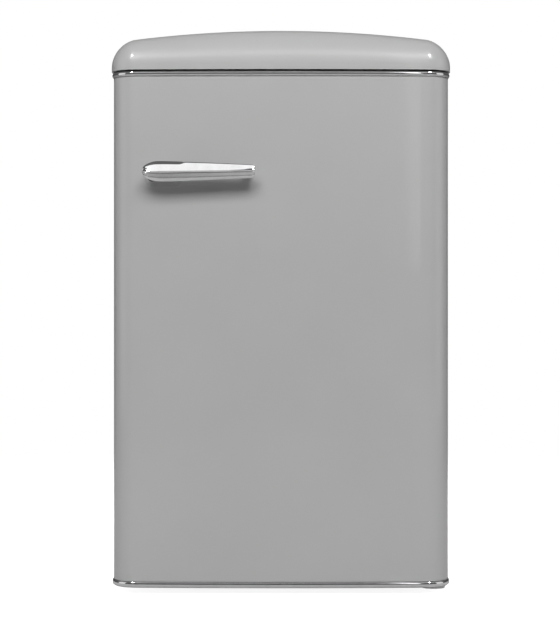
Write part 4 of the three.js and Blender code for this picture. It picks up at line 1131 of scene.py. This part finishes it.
def front_foot(node):
    """A levelling foot: a dished pad, a hexagon and a threaded stem."""
    low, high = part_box(node)
    place = Vector(((low.x + high.x) / 2, (low.y + high.y) / 2, low.z))
    r = (high.x - low.x) / 2
    pad = [(0, 0), (r - 2.4 * MM, 0), (r - 0.7 * MM, 0.5 * MM), (r, 2 * MM)]
    pad += [(r - 0.2 * MM, 8 * MM), (r - 1.5 * MM, 9.6 * MM)]
    pad += [(r - 3.5 * MM, 10 * MM), (11 * MM, 10.4 * MM), (9 * MM, 11.5 * MM), (0, 11.5 * MM)]
    nut = [(0, 11), (7.4, 11), (8, 11.6), (8, 17), (7.2, 17.8), (0, 17.8)]
    nut = [(radius * MM, height * MM) for radius, height in nut]
    stem = [(0, 17 * MM)]
    turns = 18
    for k in range(turns):
        z = (17.5 + 1.5 * k) * MM
        stem += [(4.3 * MM, z), (5 * MM, z + 0.5 * MM), (5 * MM, z + 0.9 * MM), (4.3 * MM, z + 1.4 * MM)]
    stem += [(3.6 * MM, high.z - low.z), (0, high.z - low.z)]
    piece(f"{node}_pad", "black_plastic", node, *turned(pad, place, sides=56), [node], 40)
    piece(f"{node}_nut", "zinc_steel", node, *turned(nut, place, sides=6), sharp=30)
    return piece(f"{node}_stem", "zinc_steel", node, *turned(stem, place, sides=28), sharp=60)


def rear_foot(node):
    """A moulded block that narrows to its pad."""
    low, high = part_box(node)
    place = Vector(((low.x + high.x) / 2, (low.y + high.y) / 2, low.z))
    r, h = (high.x - low.x) / 2, high.z - low.z
    profile = [(0, 0), (r - 5 * MM, 0), (r - 3.4 * MM, 0.7 * MM), (r - 3 * MM, 2.4 * MM)]
    profile.append((r - 2.4 * MM, 7 * MM))
    profile += [(r - 2.8 * MM, 7.6 * MM), (r - 2.8 * MM, 9 * MM), (r - 2.2 * MM, 9.6 * MM)]
    profile += [(r, h - 3 * MM), (r, h), (0, h)]
    return piece(f"{node}_block", "black_plastic", "cabinet", *turned(profile, place, sides=56), [node], 40)


def fixings():
    """The hinges' bolts, the back panel's screws and the strip that seals the bay's lower edge."""
    upper_low, upper_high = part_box("upper_hinge")
    lower_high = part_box("lower_hinge")[1]
    x_middle = (upper_low.x + upper_high.x) / 2
    bolts = []
    for x, y in ((-10, 24), (10, 24), (0, 52)):
        bolts.append(bolt(Vector((x_middle + x * MM, CABINET_FRONT + y * MM, upper_high.z)), (0, 0, 1)))
        below = Vector((x_middle + x * MM, CABINET_FRONT + (y - 6) * MM, lower_high.z - 11.3 * MM))
        bolts.append(bolt(below, (0, 0, -1)))
    piece("hinge_bolts", "zinc_steel", "cabinet", *joined(*bolts))
    plate_low, plate_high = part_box("compressor_plate")
    strip_low = (plate_low.y - 2.8 * MM, plate_high.z + 0.2 * MM)
    strip_high = (plate_low.y + 1.2 * MM, plate_high.z + 4 * MM)
    strip = rounded_loop(strip_low, strip_high, 1.2 * MM, 4)
    piece("bay_strip", "rubber", "cabinet", *extruded(strip, along_x, plate_low.x, plate_high.x), sharp=50)
    shell_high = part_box("cabinet_shell")[1]
    screws = []
    head = [(0, 0), (4 * MM, 0), (4 * MM, 0.5 * MM), (3.2 * MM, 1.7 * MM)]
    head += [(1.5 * MM, 2.3 * MM), (0, 2.4 * MM)]
    for side in (-1, 1):
        for k in range(6):
            z = BAY_TOP + 20 * MM + (shell_high.z - BAY_TOP - 40 * MM) * k / 5
            screws.append(turned(head, Vector((side * (HALF - 9 * MM), shell_high.y, z)), (0, 1, 0), 24))
    return piece("back_panel_screws", "zinc_steel", "cabinet", *joined(*screws))


# ---------------------------------------------------------------- make everything

EDGES = {
    "upper_hinge": 0.5 * MM,
    "lower_hinge": 0.5 * MM,
    "control_housing": 1.5 * MM,
    "compressor_terminal_cover": 2 * MM,
    "upper_shelf_glass": 0.5 * MM,
    "lower_shelf_glass": 0.5 * MM,
    "crisper_cover_glass": 0.5 * MM,
    "upper_shelf_trim": 0.8 * MM,
    "lower_shelf_trim": 0.8 * MM,
    "crisper_cover_trim": 0.8 * MM,
    "floor_panel": 0.3 * MM,
    "compressor_plate": 0.4 * MM,
    "ice_box": 0.6 * MM,
}

for part in frame["record"]["subparts"]:
    node = nodes[part["node"]]
    node.data.materials.clear()
    node.data.materials.append(finishes[part["material_slot"]].material)
    soften(node, 33)
    if part["node"] in EDGES:
        bevel(node, EDGES[part["node"]])

top_cover()
door_skin()
for band_node in ("door_top_band", "door_bottom_band"):
    chrome_band(band_node)
handle_bar()
handle_foot("handle_foot_left", 12 * MM)
handle_foot("handle_foot_right", 7 * MM)
door_liner()
rack_lugs()
gasket()
door_racks()
crisper()
ice_flap()
evaporator_channel()
thermostat()
lamp()
light_switch()
compressor()
grommets()
drip_tray()
condenser()
filter_drier()
pipes()
for foot_node in ("foot_front_left", "foot_front_right"):
    front_foot(foot_node)
for foot_node in ("foot_rear_left", "foot_rear_right"):
    rear_foot(foot_node)
fixings()

# ---------------------------------------------------------------- studio

FRONT_HEIGHT = 0.9931  # what the picture spans at the door's front
CAMERA_DISTANCE = 2.7  # from the door's front
CAMERA_HEIGHT = 0.49
PICTURE_MIDDLE = 0.4577
CAMERA_SIDE = -1.5 * MM


def camera():
    """A level camera in front of the door, with its picture shifted down a little."""
    data = bpy.data.cameras.new("camera")
    data.sensor_fit = "AUTO"
    data.lens = data.sensor_width * CAMERA_DISTANCE / FRONT_HEIGHT
    data.shift_y = (PICTURE_MIDDLE - CAMERA_HEIGHT) / FRONT_HEIGHT
    obj = bpy.data.objects.new("camera", data)
    obj.location = (CAMERA_SIDE, DOOR_FRONT - CAMERA_DISTANCE, CAMERA_HEIGHT)
    obj.rotation_euler = (math.pi / 2, 0, 0)
    bpy.context.scene.collection.objects.link(obj)
    bpy.context.scene.camera = obj


def softbox(name, place, aim, size, power, matt=True, glossy=True):
    """A rectangular light; it can be left out of matt shading or of reflections."""
    data = bpy.data.lights.new(name, "AREA")
    data.shape = "RECTANGLE"
    data.size, data.size_y = size
    data.energy = power
    obj = bpy.data.objects.new(name, data)
    obj.location = place
    obj.rotation_euler = (Vector(aim) - Vector(place)).to_track_quat("-Z", "Y").to_euler()
    obj.visible_glossy = glossy
    obj.visible_diffuse = matt
    bpy.context.scene.collection.objects.link(obj)
    return obj


def studio_floor():
    """A pale disc that fades into the white surroundings."""
    mesh = bpy.data.meshes.new("floor")
    disc = bmesh.new()
    bmesh.ops.create_circle(disc, cap_ends=True, segments=64, radius=2.4)
    disc.to_mesh(mesh)
    disc.free()
    floor = bpy.data.objects.new("floor", mesh)
    bpy.context.scene.collection.objects.link(floor)
    material = bpy.data.materials.new("pale_floor")
    material.use_nodes = True
    tree = material.node_tree
    shader = tree.nodes["Principled BSDF"]
    shader.inputs["Roughness"].default_value = 0.8
    shader.inputs["Emission Color"].default_value = (1, 1, 1, 1)
    seen = tree.nodes.new("ShaderNodeLightPath").outputs["Is Camera Ray"]
    tone = tree.nodes.new("ShaderNodeMix")
    tone.data_type = "RGBA"
    tone.inputs["A"].default_value = (0.5, 0.5, 0.5, 1)
    tone.inputs["B"].default_value = (0.9, 0.9, 0.9, 1)
    tree.links.new(seen, tone.inputs["Factor"])
    tree.links.new(tone.outputs["Result"], shader.inputs["Base Color"])
    glow = tree.nodes.new("ShaderNodeMath")
    glow.operation = "MULTIPLY"
    glow.inputs[1].default_value = 0.9
    tree.links.new(seen, glow.inputs[0])
    tree.links.new(glow.outputs["Value"], shader.inputs["Emission Strength"])
    place = tree.nodes.new("ShaderNodeTexCoord")
    length = tree.nodes.new("ShaderNodeVectorMath")
    length.operation = "LENGTH"
    tree.links.new(place.outputs["Object"], length.inputs[0])
    fade = tree.nodes.new("ShaderNodeMapRange")
    fade.interpolation_type = "SMOOTHSTEP"
    for key, value in (("From Min", 0.7), ("From Max", 2.2), ("To Min", 1), ("To Max", 0)):
        fade.inputs[key].default_value = value
    tree.links.new(length.outputs["Value"], fade.inputs["Value"])
    tree.links.new(fade.outputs["Result"], shader.inputs["Alpha"])
    mesh.materials.append(material)


def surroundings():
    """White behind the object, and a softer grey room for what it reflects."""
    world = bpy.data.worlds.new("studio")
    world.use_nodes = True
    bpy.context.scene.world = world
    tree = world.node_tree
    background = tree.nodes["Background"]
    place = tree.nodes.new("ShaderNodeTexCoord")
    split = tree.nodes.new("ShaderNodeSeparateXYZ")
    tree.links.new(place.outputs["Generated"], split.inputs["Vector"])
    ramp = tree.nodes.new("ShaderNodeValToRGB")
    ramp.color_ramp.elements[0].position = 0.44
    ramp.color_ramp.elements[0].color = (0.2, 0.2, 0.2, 1)
    ramp.color_ramp.elements[1].position = 0.95
    ramp.color_ramp.elements[1].color = (0.13, 0.13, 0.13, 1)
    horizon = ramp.color_ramp.elements.new(0.5)
    horizon.color = (0.07, 0.07, 0.07, 1)
    raise_up = tree.nodes.new("ShaderNodeMapRange")
    raise_up.inputs["From Min"].default_value = -1
    tree.links.new(split.outputs["Z"], raise_up.inputs["Value"])
    tree.links.new(raise_up.outputs["Result"], ramp.inputs["Fac"])
    rays = tree.nodes.new("ShaderNodeLightPath")
    mix = tree.nodes.new("ShaderNodeMix")
    mix.data_type = "RGBA"
    tree.links.new(rays.outputs["Is Camera Ray"], mix.inputs["Factor"])
    tree.links.new(ramp.outputs["Color"], mix.inputs["A"])
    mix.inputs["B"].default_value = (1, 1, 1, 1)
    tree.links.new(mix.outputs["Result"], background.inputs["Color"])


camera()
softbox("key", (0, -5.0, 3.9), (0, -0.3, 0.5), (4.4, 2.2), 300, glossy=False)
softbox("handle_card", (0.2, -2.2, 2.28), (-0.13, -0.3, 0.68), (4.0, 0.5), 6)
softbox("strip", (0.72, -3.2, 1.9), (0.22, -0.26, 0.7), (0.14, 2.6), 1.6)
softbox("back", (0, 4.5, 1.3), (0, 0, 0.5), (3.0, 2.0), 200, glossy=False)
softbox("overhead", (0, 0.8, 4.2), (0, 0, 0.5), (4.0, 4.0), 17, glossy=False)
for side_name, side in (("left", -1), ("right", 1)):
    softbox(f"{side_name}_rim", (side * 3.0, 1.5, 1.2), (0, 0.1, 0.5), (1.5, 1.8), 17, glossy=False)
    softbox(f"{side_name}_panel", (side * 2.4, -0.9, 1.0), (0, -0.2, 0.6), (1.6, 2.0), 6.5)
    spark_place, spark_aim = (side * 1.25, -2.23, 2.87), (side * 0.24, -0.24, 0.86)
    softbox(f"{side_name}_spark", spark_place, spark_aim, (0.36, 0.5), 26, matt=False)
studio_floor()
surroundings()
bpy.context.scene.view_settings.view_transform = "Standard"
